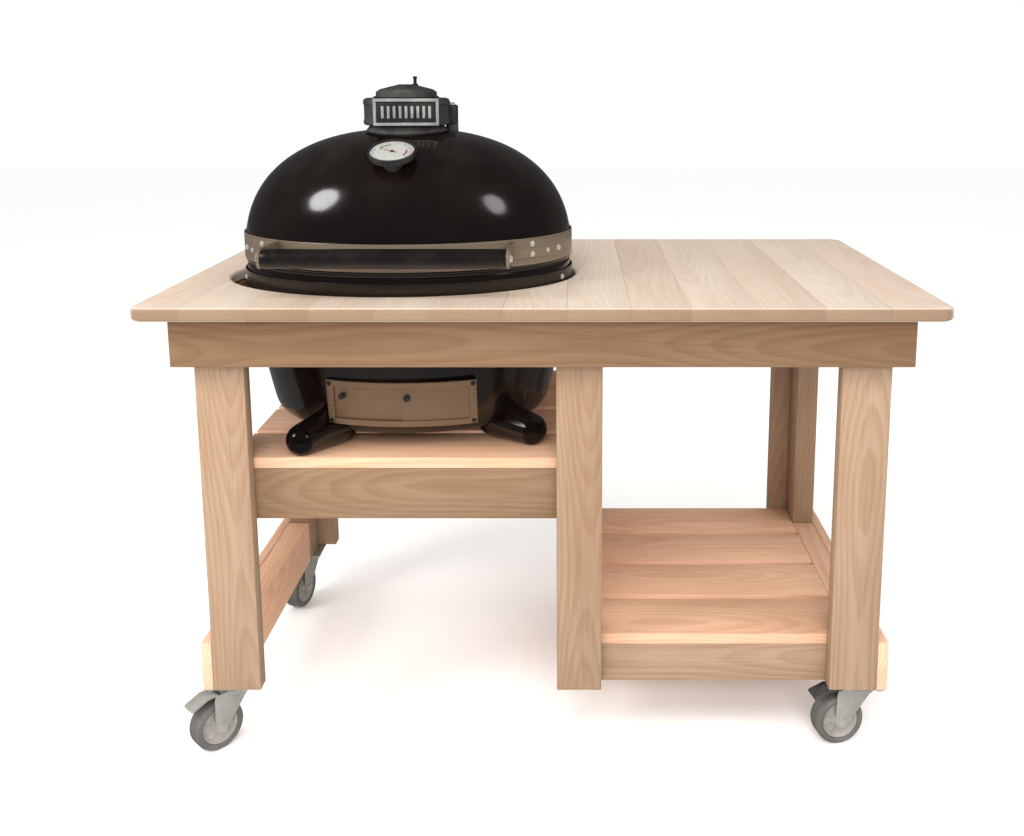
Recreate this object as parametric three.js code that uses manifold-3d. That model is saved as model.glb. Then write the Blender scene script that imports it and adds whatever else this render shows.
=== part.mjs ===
// A ceramic kamado grill set into a wheeled wooden table.
// Millimetres, +Z up, +Y to the back. The origin is on the floor under the middle of the table.
import * as THREE from 'three';
import { ConvexGeometry } from 'three/addons/geometries/ConvexGeometry.js';
import { mergeVertices } from 'three/addons/utils/BufferGeometryUtils.js';
import Module from 'manifold-3d';

const wasm = await Module();
wasm.setup();

const gap = 0.3; // play left between pieces that touch

// driving sizes of the table
const top = { width: 1470, depth: 832, height: 914, thick: 25, corner: 30, round: 7 };
const board = 34; // thickness of the aprons, leg boards and rails
const apron = { half: 679, inset: 43, height: 93.5, sideThick: 30 };
const leg = { outer: 648.5, width: 92.5, bottom: 133, postThick: 49.5, postDepth: 89 };
const midLeg = { left: 23.5, right: 110.3 };
const sideRail = { thick: 20.5, height: 100 };
const slat = { width: 140, thick: 21.5, count: 4 };
const shelf = { top: 233, railHeight: 78, bearerLeft: 60, bearerRight: 505 };
const deck = { top: 598, railHeight: 102, left: -610, right: 105, bearerWidth: 40 };

// driving sizes of the grill
const grill = { x: -286, y: -56, halfWidth: 337, ratio: 0.724 };
const opening = { x: -298, y: -53, halfWidth: 357, halfDepth: 258 };
const rimZ = 946; // height of the bowl's rim
const bowl = { bottom: 622, floor: 650, flat: 236, heel: 290, heelZ: 664, rimOuter: 335 };
const bowlInside = [[304, rimZ], [297, 880], [286, 800], [262, 680], [245, bowl.floor], [0, bowl.floor]];
const firebox = { top: 905, ledge: 730 };
const fireboxOutside = [[214, 650.3], [238, 650.3], [256, 684], [280, 806], [290, firebox.top]];
const fireboxInside = [[266, firebox.top], [258, 800], [246, firebox.ledge], [222, firebox.ledge]];
const lid = { bottom: 950.3, springZ: 957, bandTop: 1010, rise: 258, power: 2.4, wall: 26, sideWall: 30 };
const steelBand = { thick: 3, lidPlay: 1.8, low: 905, high: 935, lowPlay: 1.4, lowThick: 2.6 };
const gasket = { inner: 310, outer: 332 };
const fireGrate = { radius: 240, thick: 9, slots: 11, pitch: 34, slot: 16, edge: 34, spine: 16 };
const cookGrate = { outer: 284, rod: 8, bar: 5, split: 3, bars: 13, pitch: 21.5 };
const chimney = { bore: 46, flange: 84, bottom: 1198, top: 1222, capRadius: 88, capTop: 1277, yaw: 8 };
const lug = { radius: 13, x: chimney.flange + 6, y: 20, height: 40 }; // the cap's pivot beside the collar
const port = { count: 4, radius: 13, circle: 30, closedTurn: 26 };
const capPlate = { half: 64, low: 1, high: 54, proud: 5, deep: 26, border: 6, recess: 3.5 };
const damper = { radius: 62, edge: 12, pinX: 18, pinY: -4, pinRadius: 5, pinTop: 43 };
const handle = { radius: 18, length: 442, y: -356, z: 993, arm: 6 };
const armFoot = { back: -190, low: 22, high: 14, length: 66, thick: 3.4, play: 1.6 };
const dial = { radius: 46, thick: 15, z: 1156, tilt: 66, back: 14, recess: 4, stem: 19, probe: 4, reach: 75 };
const needle = { length: 36, width: 2.4, thick: 1.2, offset: 11, hub: 4, across: -0.9, up: 0.43 };
const hinge = { y: 216, z: 950, halfWidth: 60, ear: 12, pinRadius: 6, barrel: 11, knuckle: 10, clear: 3 };
const draft = { x: -278, bottom: 648, top: 740, width: 292, curve: 408, centreY: 136, lean: 0.165 };
const bowlHole = { width: 236, low: 664, high: 724 };
const fireboxHole = { width: 200, low: 668, high: 716 };
const draftTrack = { proud: 9, rail: 12, side: 14, inner: 2.2, outer: 7.2, deep: 5, end: 5 };
const door = { thick: 1.6, margin: 8, knobRadius: 5, knobLength: 15, knobRise: 16, root: 0.4 };
const wheel = { radius: 50, width: 36, trail: 42, boreRadius: 6.4, sides: 28 };
const tyre = { shoulder: 45, step: 8, rimOuter: 36, rimInner: 33, dish: 4, hub: 15, hubProud: 2 };
const caster = { x: 626, front: -287, back: 287, plateTop: 132.7, plateThick: 4, plateX: 42, plateY: 46 };
const race = { radius: 27, height: 9, holeX: 33, holeY: 37, holeRadius: 4.5 };
const fork = { crown: 32, drop: 14, cheek: 3, room: 3, front: 26, ear: 50, boss: 13, axle: 6, axleProud: 8 };
const pedal = { pivot: 46, pinRadius: 3.5, pinDrop: 8, width: 34, thick: 4, bend: 66, tip: 98, fall: 12 };

// plan turn of each caster, and which casters carry a brake pedal
const casters = [
  { name: 'front_left', x: -caster.x, y: caster.front, turn: 46, brake: true },
  { name: 'front_right', x: caster.x, y: caster.front, turn: 12, brake: true },
  { name: 'back_left', x: -caster.x, y: caster.back, turn: 75, brake: false },
  { name: 'back_right', x: caster.x, y: caster.back, turn: 20, brake: false },
];

// the balls whose common hull makes a foot: the nose, the instep and the heel under the bowl
const shoeBalls = [
  { radius: 31, height: 29, step: 0 },
  { radius: 34, height: 34, step: 92 },
  { radius: 22, height: 56, step: 62 },
];

const legFront = -top.depth / 2 + apron.inset + board + gap; // front face of the front legs
const legBack = legFront + board - gap; // back face of the front legs' boards
const underTop = top.height - top.thick - gap;

const group = new THREE.Group();

const looks = {
  cypress: { color: 0xd6b08a, roughness: 0.62, metalness: 0 },
  glazed: { color: 0x14100e, roughness: 0.12, metalness: 0 },
  fireClay: { color: 0xb9a48a, roughness: 0.9, metalness: 0 },
  castIron: { color: 0x3a3938, roughness: 0.55, metalness: 0.6 },
  stainless: { color: 0xb4a795, roughness: 0.3, metalness: 1 },
  zinc: { color: 0xbcb5a9, roughness: 0.38, metalness: 1 },
  rubber: { color: 0x63625c, roughness: 0.75, metalness: 0 },
  felt: { color: 0x1c1b1a, roughness: 1, metalness: 0 },
  blackGrip: { color: 0x171312, roughness: 0.35, metalness: 0 },
  dialFace: { color: 0xe3e1dd, roughness: 0.35, metalness: 0 },
  needle: { color: 0x8f1f18, roughness: 0.5, metalness: 0 },
};

function put(name, geometry, look, parent = group) {
  const mesh = new THREE.Mesh(geometry, new THREE.MeshStandardMaterial(looks[look]));
  mesh.name = name;
  parent.add(mesh);
  return mesh;
}

// solids for cutting and joining
function solid(geometry) {
  const bare = new THREE.BufferGeometry();
  bare.setAttribute('position', geometry.getAttribute('position').clone());
  if (geometry.index) bare.setIndex(geometry.index.clone());
  const merged = mergeVertices(bare, 1e-4);
  const vertProperties = new Float32Array(merged.getAttribute('position').array);
  const triVerts = new Uint32Array(merged.index.array);
  return new wasm.Manifold(new wasm.Mesh({ numProp: 3, vertProperties, triVerts }));
}

function surface(body) {
  const { vertProperties, triVerts } = body.getMesh();
  const geometry = new THREE.BufferGeometry();
  geometry.setAttribute('position', new THREE.BufferAttribute(new Float32Array(vertProperties), 3));
  geometry.setIndex(new THREE.BufferAttribute(new Uint32Array(triVerts), 1));
  geometry.computeVertexNormals();
  return geometry;
}

// a box from its low and high corners
function block(x0, x1, y0, y1, z0, z1) {
  const geometry = new THREE.BoxGeometry(x1 - x0, y1 - y0, z1 - z0);
  return geometry.translate((x0 + x1) / 2, (y0 + y1) / 2, (z0 + z1) / 2);
}

// a round bar from one point to another
function bar(from, to, radius, sides = 16) {
  const span = new THREE.Vector3().subVectors(to, from);
  const geometry = new THREE.CylinderGeometry(radius, radius, span.length(), sides);
  const turn = new THREE.Quaternion().setFromUnitVectors(new THREE.Vector3(0, 1, 0), span.clone().normalize());
  geometry.applyQuaternion(turn);
  const middle = new THREE.Vector3().addVectors(from, to).multiplyScalar(0.5);
  return geometry.translate(middle.x, middle.y, middle.z);
}

// a turned piece about the Z axis from points (radius, height), with the outside drawn upwards
function lathe(points, sides = 36) {
  const profile = points.map(([r, z]) => new THREE.Vector2(r, z));
  return new THREE.LatheGeometry(profile, sides).rotateX(Math.PI / 2);
}

// an oval piece of the grill: turned, then narrowed from front to back
function oval(points, sides = 48) {
  return lathe(points, sides).scale(1, grill.ratio, 1).translate(grill.x, grill.y, 0);
}

function closed(points) {
  return [...points, points[0]];
}

// ---------------------------------------------------------------- table
// points round part of an ellipse, both ends included
function arcPoints(x, y, rx, ry, from, to, steps) {
  return Array.from({ length: steps + 1 }, (_, i) => {
    const t = from + ((to - from) * i) / steps;
    return new THREE.Vector2(x + rx * Math.cos(t), y + ry * Math.sin(t));
  });
}

function tableTop() {
  const inset = top.round;
  const r = top.corner - inset;
  const x = top.width / 2 - top.corner;
  const y = top.depth / 2 - top.corner;
  const quarter = Math.PI / 2;
  const corners = [[x, -y], [x, y], [-x, y], [-x, -y]];
  const outline = new THREE.Shape(corners.flatMap(([cx, cy], i) => (
    arcPoints(cx, cy, r, r, (i - 1) * quarter, i * quarter, 6)
  )));
  const holeWidth = opening.halfWidth + inset;
  const holeDepth = opening.halfDepth + inset;
  const rim = arcPoints(opening.x, opening.y, holeWidth, holeDepth, 0, -4 * quarter, 60);
  outline.holes.push(new THREE.Path(rim.slice(0, -1)));
  const geometry = new THREE.ExtrudeGeometry(outline, {
    depth: top.thick - 2 * inset,
    bevelThickness: inset,
    bevelSize: inset,
    bevelSegments: 3,
  });
  return geometry.translate(0, 0, top.height - top.thick + inset);
}

function aprons() {
  const z0 = underTop - apron.height;
  const y = top.depth / 2 - apron.inset;
  put('apron_front', block(-apron.half, apron.half, -y, -y + board, z0, underTop), 'cypress');
  put('apron_back', block(-apron.half, apron.half, y - board, y, z0, underTop), 'cypress');
  const reach = y - board - gap;
  const inner = apron.half - apron.sideThick + gap;
  put('apron_left', block(-apron.half, -inner, -reach, reach, z0, underTop), 'cypress');
  put('apron_right', block(inner, apron.half, -reach, reach, z0, underTop), 'cypress');
}

// a corner leg: a face board with a post behind it, flush at the outside
function cornerLeg(sideX, sideY) {
  const outer = leg.outer;
  const inner = leg.outer - leg.width;
  const post = leg.outer - leg.postThick;
  const back = legBack + leg.postDepth;
  const plan = new THREE.Shape();
  plan.moveTo(inner, legFront);
  plan.lineTo(outer, legFront);
  plan.lineTo(outer, back);
  plan.lineTo(post, back);
  plan.lineTo(post, legBack);
  plan.lineTo(inner, legBack);
  plan.closePath();
  const body = new THREE.ExtrudeGeometry(plan, { depth: underTop - leg.bottom, bevelEnabled: false });
  body.translate(0, 0, leg.bottom);
  if (sideX > 0 && sideY < 0) return body;
  const mirrored = solid(body).mirror(sideX < 0 ? [1, 0, 0] : [0, 1, 0]);
  if (sideX < 0 && sideY > 0) return surface(mirrored.mirror([0, 1, 0]));
  return surface(mirrored);
}

function legs() {
  put('leg_front_left', cornerLeg(-1, -1), 'cypress');
  put('leg_front_right', cornerLeg(1, -1), 'cypress');
  put('leg_back_left', cornerLeg(-1, 1), 'cypress');
  put('leg_back_right', cornerLeg(1, 1), 'cypress');
  const { left, right } = midLeg;
  put('leg_front_middle', block(left, right, legFront, legBack, leg.bottom, underTop), 'cypress');
  put('leg_back_middle', block(left, right, -legBack, -legFront, leg.bottom, underTop), 'cypress');
}

// a low side rail: a full-length outer board with a filler between the two posts
function lowSideRail(side) {
  const postBack = legBack + leg.postDepth + gap;
  const z1 = leg.bottom + sideRail.height;
  const x0 = leg.outer + gap;
  const plan = new THREE.Shape();
  plan.moveTo(x0, legFront);
  plan.lineTo(x0 + sideRail.thick, legFront);
  plan.lineTo(x0 + sideRail.thick, -legFront);
  plan.lineTo(x0, -legFront);
  plan.lineTo(x0, -postBack);
  plan.lineTo(leg.outer - leg.postThick, -postBack);
  plan.lineTo(leg.outer - leg.postThick, postBack);
  plan.lineTo(x0, postBack);
  plan.closePath();
  const body = new THREE.ExtrudeGeometry(plan, { depth: z1 - leg.bottom, bevelEnabled: false });
  body.translate(0, 0, leg.bottom);
  return side > 0 ? body : surface(solid(body).mirror([1, 0, 0]));
}

// the front and back boards that carry a shelf
function shelfRails(prefix, x0, x1, z0, z1) {
  const y0 = legBack + gap;
  put(`${prefix}_front_rail`, block(x0, x1, y0, y0 + board, z0, z1), 'cypress');
  put(`${prefix}_back_rail`, block(x0, x1, -y0 - board, -y0, z0, z1), 'cypress');
}

// slats laid from left to right, joined by the two bearers under their ends
function slattedShelf(spans, topZ, bearers, bearerBottom) {
  const y0 = legBack + gap;
  const pitch = (-2 * y0 - slat.width) / (slat.count - 1);
  const slatBottom = topZ - slat.thick;
  let shape = null;
  for (let i = 0; i < slat.count; i += 1) {
    const y = y0 + i * pitch;
    const [x0, x1] = spans[i];
    const one = solid(block(x0, x1, y, y + slat.width, slatBottom, topZ));
    shape = shape ? shape.add(one) : one;
  }
  const reach = -y0 - board - gap;
  for (const [x0, x1] of bearers) {
    shape = shape.add(solid(block(x0, x1, -reach, reach, bearerBottom, slatBottom + 1)));
  }
  return surface(shape);
}

function lowerShelf() {
  const x0 = midLeg.left;
  const x1 = leg.outer - leg.postThick - gap;
  const railTop = shelf.top - slat.thick - gap;
  shelfRails('lower_shelf', x0, x1, railTop - shelf.railHeight, railTop);
  const spans = Array.from({ length: slat.count }, () => [x0, x1]);
  const bearers = [shelf.bearerLeft, shelf.bearerRight].map((x) => [x, x + board]);
  const bearerLow = railTop - shelf.railHeight + gap;
  put('lower_shelf_slats', slattedShelf(spans, shelf.top, bearers, bearerLow), 'cypress');
}

function grillShelf() {
  const postInner = -leg.outer + leg.postThick + gap;
  const railTop = deck.top - slat.thick - gap;
  shelfRails('grill_shelf', postInner, midLeg.right, railTop - deck.railHeight, railTop);
  const short = [postInner, deck.right]; // the outer slats stop at the corner posts
  const long = [deck.left, deck.right];
  const spans = [short, long, long, short];
  const bearers = [
    [postInner, postInner + deck.bearerWidth],
    [deck.right - deck.bearerWidth, deck.right],
  ];
  put('grill_shelf_slats', slattedShelf(spans, deck.top, bearers, railTop - deck.railHeight + gap), 'cypress');
}

// ---------------------------------------------------------------- grill: ceramic shells
function bowlOutline(grow = 0) {
  const path = new THREE.Path();
  path.moveTo(0, bowl.bottom - grow);
  path.lineTo(bowl.flat, bowl.bottom - grow);
  path.quadraticCurveTo(bowl.heel - 10 + grow, bowl.bottom - grow, bowl.heel + grow, bowl.heelZ);
  path.quadraticCurveTo(bowl.rimOuter - 17 + grow, 780, bowl.rimOuter - 4 + grow, 890);
  path.lineTo(bowl.rimOuter + grow, rimZ);
  return path.getPoints(5).map((p) => [p.x, p.y]);
}

function draftCut(width, z0, z1) {
  return solid(block(draft.x - width / 2, draft.x + width / 2, -400, grill.y - 80, z0, z1));
}

function lowerBowl() {
  const shell = solid(oval([...bowlOutline(), ...bowlInside]));
  return surface(shell.subtract(draftCut(bowlHole.width, bowlHole.low, bowlHole.high)));
}

function fireboxShell() {
  const shell = solid(oval(closed([...fireboxOutside, ...fireboxInside])));
  return surface(shell.subtract(draftCut(fireboxHole.width, fireboxHole.low, fireboxHole.high)));
}

// height shape of the lid: how much of the full width is left at height z
function lidShare(z, rise) {
  const part = Math.min(1, Math.max(0, (z - lid.springZ) / rise));
  return (1 - part ** lid.power) ** (1 / lid.power);
}

function lidArc(halfWidth, rise, fromZ, steps) {
  const start = Math.asin((fromZ - lid.springZ) / rise);
  return Array.from({ length: steps + 1 }, (_, i) => {
    const t = start + (i / steps) * (Math.PI / 2 - start);
    const z = lid.springZ + rise * Math.sin(t);
    return [i === steps ? 0 : halfWidth * lidShare(z, rise), z];
  });
}

const chimneyAxis = new THREE.Vector3(grill.x, grill.y, 0);

function dialFrame() {
  const share = lidShare(dial.z, lid.rise);
  const foot = new THREE.Vector3(grill.x, grill.y - grill.halfWidth * grill.ratio * share, dial.z);
  const lean = THREE.MathUtils.degToRad(dial.tilt);
  const out = new THREE.Vector3(0, -Math.cos(lean), Math.sin(lean));
  return { foot, out };
}

function dome() {
  const bandRadius = grill.halfWidth * lidShare(lid.bandTop, lid.rise) - gap;
  const lipTop = lid.springZ - gap;
  const lip = [[grill.halfWidth, lid.bottom], [grill.halfWidth, lipTop], [bandRadius, lipTop]];
  const outer = lidArc(grill.halfWidth, lid.rise, lid.bandTop, 10);
  const inner = lidArc(grill.halfWidth - lid.sideWall, lid.rise - lid.wall, lid.springZ, 6).reverse();
  const foot = [grill.halfWidth - lid.sideWall, lid.bottom];
  const shell = solid(oval([...inner, foot, ...lip, ...outer]));
  const flueTop = chimneyAxis.clone().setZ(chimney.capTop);
  const flue = solid(bar(chimneyAxis.clone().setZ(lid.bandTop), flueTop, chimney.bore + 3, 40));
  const { foot: dialFoot, out } = dialFrame();
  const probeEnd = dialFoot.clone().addScaledVector(out, -dial.reach - 5);
  const probeHole = bar(probeEnd, dialFoot.clone().addScaledVector(out, 40), dial.probe + 2, 16);
  return surface(shell.subtract(flue).subtract(solid(probeHole)));
}

// the whole space inside the lid's outer skin, grown a little, for fitting pieces against it
function lidSpace(grow) {
  const arc = lidArc(grill.halfWidth + grow, lid.rise + grow, lid.bandTop, 10);
  return solid(oval([[0, lid.bottom], [grill.halfWidth + grow, lid.bottom], ...arc]));
}

function fullOval(radius, z0, z1) {
  return oval([[0, z0], [radius, z0], [radius, z1], [0, z1]]);
}

function band(z0, z1, inner, outer) {
  return oval(closed([[inner, z0], [outer, z0], [outer, z1], [inner, z1]]));
}

// ---------------------------------------------------------------- grill: inside
function ashGrate() {
  const { radius, thick, slots, pitch, slot, edge, spine } = fireGrate;
  const z0 = firebox.ledge + gap;
  let plate = solid(oval([[0, z0], [radius, z0], [radius, z0 + thick], [0, z0 + thick]], 48));
  for (let i = 0; i < slots; i += 1) {
    const offset = (i - (slots - 1) / 2) * pitch;
    const reach = (radius - edge) * grill.ratio * Math.sqrt(1 - (offset / (radius - edge / 2)) ** 2);
    const x0 = grill.x + offset - slot / 2;
    for (const [y0, y1] of [[-reach, -spine / 2], [spine / 2, reach]]) {
      const cut = block(x0, x0 + slot, grill.y + y0, grill.y + y1, z0 - thick, z0 + 2 * thick);
      plate = plate.subtract(solid(cut));
    }
  }
  return surface(plate);
}

// one half of the cooking grate: an oval rim, a straight inner bar and bars from front to back
function cookingGrate(side) {
  const { outer, rod, split, bars, pitch } = cookGrate;
  const z0 = firebox.top + gap;
  const ends = [grill.x + side * split, grill.x + side * (outer + rod)];
  const half = block(Math.min(...ends), Math.max(...ends), -outer, outer, z0 - rod, z0 + 2 * rod);
  let grate = solid(band(z0, z0 + rod, outer - rod, outer)).intersect(solid(half));
  const middle = outer - rod / 2;
  for (let i = 0; i < bars; i += 1) {
    const offset = split + rod / 2 + i * pitch;
    const reach = middle * grill.ratio * Math.sqrt(1 - (offset / middle) ** 2);
    const width = i === 0 ? rod : cookGrate.bar;
    const x0 = grill.x + side * offset - width / 2;
    const one = block(x0, x0 + width, grill.y - reach, grill.y + reach, z0 + 0.5, z0 + rod - 1);
    grate = grate.add(solid(one));
  }
  return surface(grate);
}

// ---------------------------------------------------------------- grill: draft door
// the door and its frame lie on a leaning cone, so that the door slides round on it
function draftBand(inner, outer, x0, x1, z0, z1) {
  const middleZ = (draft.bottom + draft.top) / 2;
  const radiusAt = (z, out) => draft.curve + out + (z - middleZ) * draft.lean;
  const low = z0 - 5;
  const high = z1 + 5;
  const ring = lathe(closed([
    [radiusAt(low, inner), low],
    [radiusAt(low, outer), low],
    [radiusAt(high, outer), high],
    [radiusAt(high, inner), high],
  ]), 120).translate(draft.x, draft.centreY, 0);
  const window = block(draft.x + x0, draft.x + x1, -600, draft.centreY - 200, z0, z1);
  return solid(ring).intersect(solid(window));
}

function draftFrame() {
  const half = draft.width / 2;
  const { proud, rail, side, inner, outer, deep, end } = draftTrack;
  const low = draft.bottom + rail;
  const high = draft.top - rail;
  const outside = draftBand(0, proud, -half, half, draft.bottom, draft.top);
  const window = draftBand(-proud, 2 * proud, -half + side, half - side, low, high);
  const track = draftBand(inner, outer, -half + end, half - end, low - deep, high + deep);
  const space = solid(oval([...bowlOutline(gap), [0, rimZ]]));
  return surface(outside.subtract(window).subtract(track).subtract(space));
}

// two doors in two tracks, each with its small knob near its left edge
function draftDoor(inner, x0, x1, knobX) {
  const z0 = draft.bottom + door.margin;
  const z1 = draft.top - door.margin;
  const panel = draftBand(inner, inner + door.thick, x0, x1, z0, z1);
  const knobZ = (draft.bottom + draft.top) / 2 + door.knobRise;
  const y = draft.centreY - Math.sqrt(draft.curve ** 2 - knobX ** 2) - inner;
  const from = new THREE.Vector3(draft.x + knobX, y + door.thick, knobZ);
  const to = new THREE.Vector3(draft.x + knobX, y - door.knobLength, knobZ);
  const wide = 2 * door.knobRadius;
  const behind = draftBand(inner - wide, inner + door.root, knobX - wide, knobX + wide, z0, z1);
  return surface(panel.add(solid(bar(from, to, door.knobRadius, 14)).subtract(behind)));
}

// ---------------------------------------------------------------- grill: lid fittings
function thermometerCase() {
  const { foot, out } = dialFrame();
  const at = (distance) => foot.clone().addScaledVector(out, distance);
  const { radius, back, thick, recess, stem, probe, reach } = dial;
  const face = back + thick;
  let shell = solid(bar(at(back), at(face), radius, 40));
  shell = shell.subtract(solid(bar(at(face - recess), at(face + recess), radius - recess, 40)));
  shell = shell.add(solid(bar(at(-stem), at(back + 1), stem, 24)));
  shell = shell.subtract(lidSpace(gap));
  return surface(shell.add(solid(bar(at(-reach), at(back + 1), probe, 12))));
}

function dialNeedle() {
  const { foot, out } = dialFrame();
  const across = new THREE.Vector3(1, 0, 0);
  const up = new THREE.Vector3().crossVectors(out, across);
  const hub = foot.clone().addScaledVector(out, dial.back + dial.thick - dial.recess + gap);
  const tip = hub.clone().addScaledVector(out, needle.thick);
  const along = across.clone().multiplyScalar(needle.across).addScaledVector(up, needle.up).normalize();
  const basis = new THREE.Matrix4().makeBasis(along, new THREE.Vector3().crossVectors(out, along), out);
  const blade = new THREE.BoxGeometry(needle.length, needle.width, needle.thick);
  blade.translate(needle.offset, 0, needle.thick / 2).applyMatrix4(basis).translate(hub.x, hub.y, hub.z);
  return surface(solid(blade).add(solid(bar(hub, tip, needle.hub, 16))));
}

function pivotLug(z0, z1) {
  const post = lathe([[0, z0], [lug.radius, z0], [lug.radius, z1], [0, z1]], 16);
  return solid(post.translate(grill.x + lug.x, grill.y + lug.y, 0));
}

function chimneyCollar() {
  const { bore, flange, bottom, top: z1 } = chimney;
  const low = bottom - 10; // the ring reaches down into the lid's skin before it is cut to it
  const ring = lathe(closed([[bore, low], [flange, low], [flange, z1 - 10], [flange - 8, z1], [bore, z1]]));
  ring.translate(grill.x, grill.y, 0);
  return surface(solid(ring).add(pivotLug(bottom + 4, z1)).subtract(lidSpace(gap)));
}

function inCapFrame(geometry) {
  return geometry.rotateZ(THREE.MathUtils.degToRad(chimney.yaw)).translate(grill.x, grill.y, 0);
}

// the vent ports in the cap's roof and in the disc that turns on it
function ventPorts(z0, z1, turn) {
  let ports = null;
  for (let i = 0; i < port.count; i += 1) {
    const angle = (i * 2 * Math.PI) / port.count + THREE.MathUtils.degToRad(turn);
    const one = new THREE.CylinderGeometry(port.radius, port.radius, z1 - z0, 12).rotateX(Math.PI / 2);
    one.translate(port.circle * Math.cos(angle), port.circle * Math.sin(angle), (z0 + z1) / 2);
    ports = ports ? ports.add(solid(inCapFrame(one))) : solid(inCapFrame(one));
  }
  return ports;
}

// the framed plate on the cap's front
function frontPlate(z0) {
  const { half, low, high, proud, deep, border, recess } = capPlate;
  const front = -chimney.capRadius - proud;
  const plate = block(-half, half, front, -chimney.capRadius + deep, z0 + low, z0 + high);
  const inside = half - border;
  const floor = z0 + low + border;
  const hollow = block(-inside, inside, front - recess, front + recess, floor, z0 + high - border);
  return solid(inCapFrame(plate)).subtract(solid(inCapFrame(hollow)));
}

function chimneyCap() {
  const z0 = chimney.top + gap;
  const z1 = chimney.capTop;
  const radius = chimney.capRadius;
  const bore = chimney.bore + 4;
  const drum = lathe([[0, z1 - 8], [bore, z1 - 8], [bore, z0], [radius - 4, z0], [radius, z0 + 5],
    [radius, z1 - 6], [radius - 8, z1], [0, z1]]);
  const cap = solid(inCapFrame(drum)).add(frontPlate(z0)).add(pivotLug(z0, z0 + lug.height));
  return surface(cap.subtract(ventPorts(z1 - 20, z1 + 20, 0)));
}

function damperDisc() {
  const z0 = chimney.capTop + gap;
  const { radius, edge, pinX, pinY, pinRadius, pinTop } = damper;
  const disc = lathe([[0, z0], [radius, z0], [radius, z0 + edge], [radius - 8, z0 + edge + 5],
    [18, z0 + 26], [0, z0 + 27]]);
  const pin = lathe([[0, z0 + edge], [pinRadius, z0 + edge], [pinRadius, z0 + pinTop - 2],
    [pinRadius - 2, z0 + pinTop], [0, z0 + pinTop]], 10);
  pin.translate(pinX, pinY, 0);
  const shape = solid(inCapFrame(disc)).subtract(ventPorts(z0 - 5, z0 + pinTop, port.closedTurn));
  return surface(shape.add(solid(inCapFrame(pin))));
}

function handleBar() {
  const half = handle.length / 2 - gap;
  const from = new THREE.Vector3(grill.x - half, handle.y, handle.z);
  const to = new THREE.Vector3(grill.x + half, handle.y, handle.z);
  return bar(from, to, handle.radius, 32);
}

// the side view of an arm: round the bar in front, deep where it meets the lid band
function armShape() {
  const { y, z, radius } = handle;
  const outline = new THREE.Shape();
  outline.moveTo(y, z + radius);
  outline.lineTo(armFoot.back, z + armFoot.high);
  outline.lineTo(armFoot.back, z - armFoot.low);
  outline.lineTo(y, z - radius);
  outline.absarc(y, z, radius, -Math.PI / 2, Math.PI / 2, true);
  return outline;
}

// an arm from the lid band to the end of the handle bar, with a curved foot on the band
function handleBracket(side) {
  const half = handle.length / 2;
  const ends = [grill.x + side * half, grill.x + side * (half + handle.arm)];
  const x0 = Math.min(...ends);
  const x1 = Math.max(...ends);
  const depth = x1 - x0;
  const arm = new THREE.ExtrudeGeometry(armShape(), { depth, bevelEnabled: false, curveSegments: 8 });
  arm.applyMatrix4(new THREE.Matrix4().set(0, 0, 1, x0, 1, 0, 0, 0, 0, 1, 0, 0, 0, 0, 0, 1));
  const skinRadius = grill.halfWidth + armFoot.play;
  const low = handle.z - armFoot.low;
  const footBand = band(low, handle.z + armFoot.high, skinRadius, skinRadius + armFoot.thick);
  const reach = side > 0
    ? block(x0, x1 + armFoot.length, -400, grill.y, lid.springZ, lid.bandTop)
    : block(x0 - armFoot.length, x1, -400, grill.y, lid.springZ, lid.bandTop);
  const skin = solid(fullOval(skinRadius, lid.springZ - 27, lid.bandTop + 20));
  return surface(solid(arm).subtract(skin).add(solid(footBand).intersect(solid(reach))));
}

// ---------------------------------------------------------------- hinge
const bandBackY = grill.y + grill.halfWidth * grill.ratio;

function alongHinge(half) {
  const { y, z } = hinge;
  return [new THREE.Vector3(grill.x - half, y, z), new THREE.Vector3(grill.x + half, y, z)];
}

function hingeBore() {
  return solid(bar(...alongHinge(2 * hinge.halfWidth), hinge.pinRadius + gap, 16));
}

function hingeLower() {
  const { halfWidth: w, ear, y, z, clear } = hinge;
  const low = 922; // the shelf plate's underside
  const plate = block(grill.x - w, grill.x + w, bandBackY - 12, bandBackY + 9, low - 22, low + 14);
  const shelfPlate = block(grill.x - w, grill.x + w, bandBackY + 4, y + 10, low, low + 8);
  let bracket = solid(plate).add(solid(shelfPlate));
  for (const x of [grill.x - w, grill.x + w - ear]) {
    const knuckle = bar(new THREE.Vector3(x, y, z), new THREE.Vector3(x + ear, y, z), hinge.knuckle, 16);
    const cheek = block(x, x + ear, bandBackY + 2, y + 10, low, z);
    bracket = bracket.add(solid(cheek)).add(solid(knuckle));
  }
  const skin = solid(fullOval(grill.halfWidth + clear, low - 32, z + 40));
  return surface(bracket.subtract(hingeBore()).subtract(skin));
}

function hingeUpper() {
  const w = hinge.halfWidth - hinge.ear - 1;
  const low = 962; // the lid plate's lower edge
  const plate = block(grill.x - w, grill.x + w, bandBackY - 16, bandBackY + 7, low, low + 42);
  const strap = block(grill.x - w, grill.x + w, bandBackY + 1, hinge.y, low - 8.5, low + 4);
  const skin = solid(fullOval(grill.halfWidth + hinge.clear, low - 32, low + 68));
  const barrel = solid(bar(...alongHinge(w), hinge.barrel, 16));
  return surface(solid(plate).add(solid(strap)).subtract(skin).add(barrel).subtract(hingeBore()));
}

function hingePin() {
  const [from, to] = alongHinge(hinge.halfWidth + 4);
  const headEnd = from.clone().setX(from.x - 5);
  const head = solid(bar(headEnd, from.clone().setX(from.x + 1), 9, 20));
  return surface(solid(bar(from, to, hinge.pinRadius, 16)).add(head));
}

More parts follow.
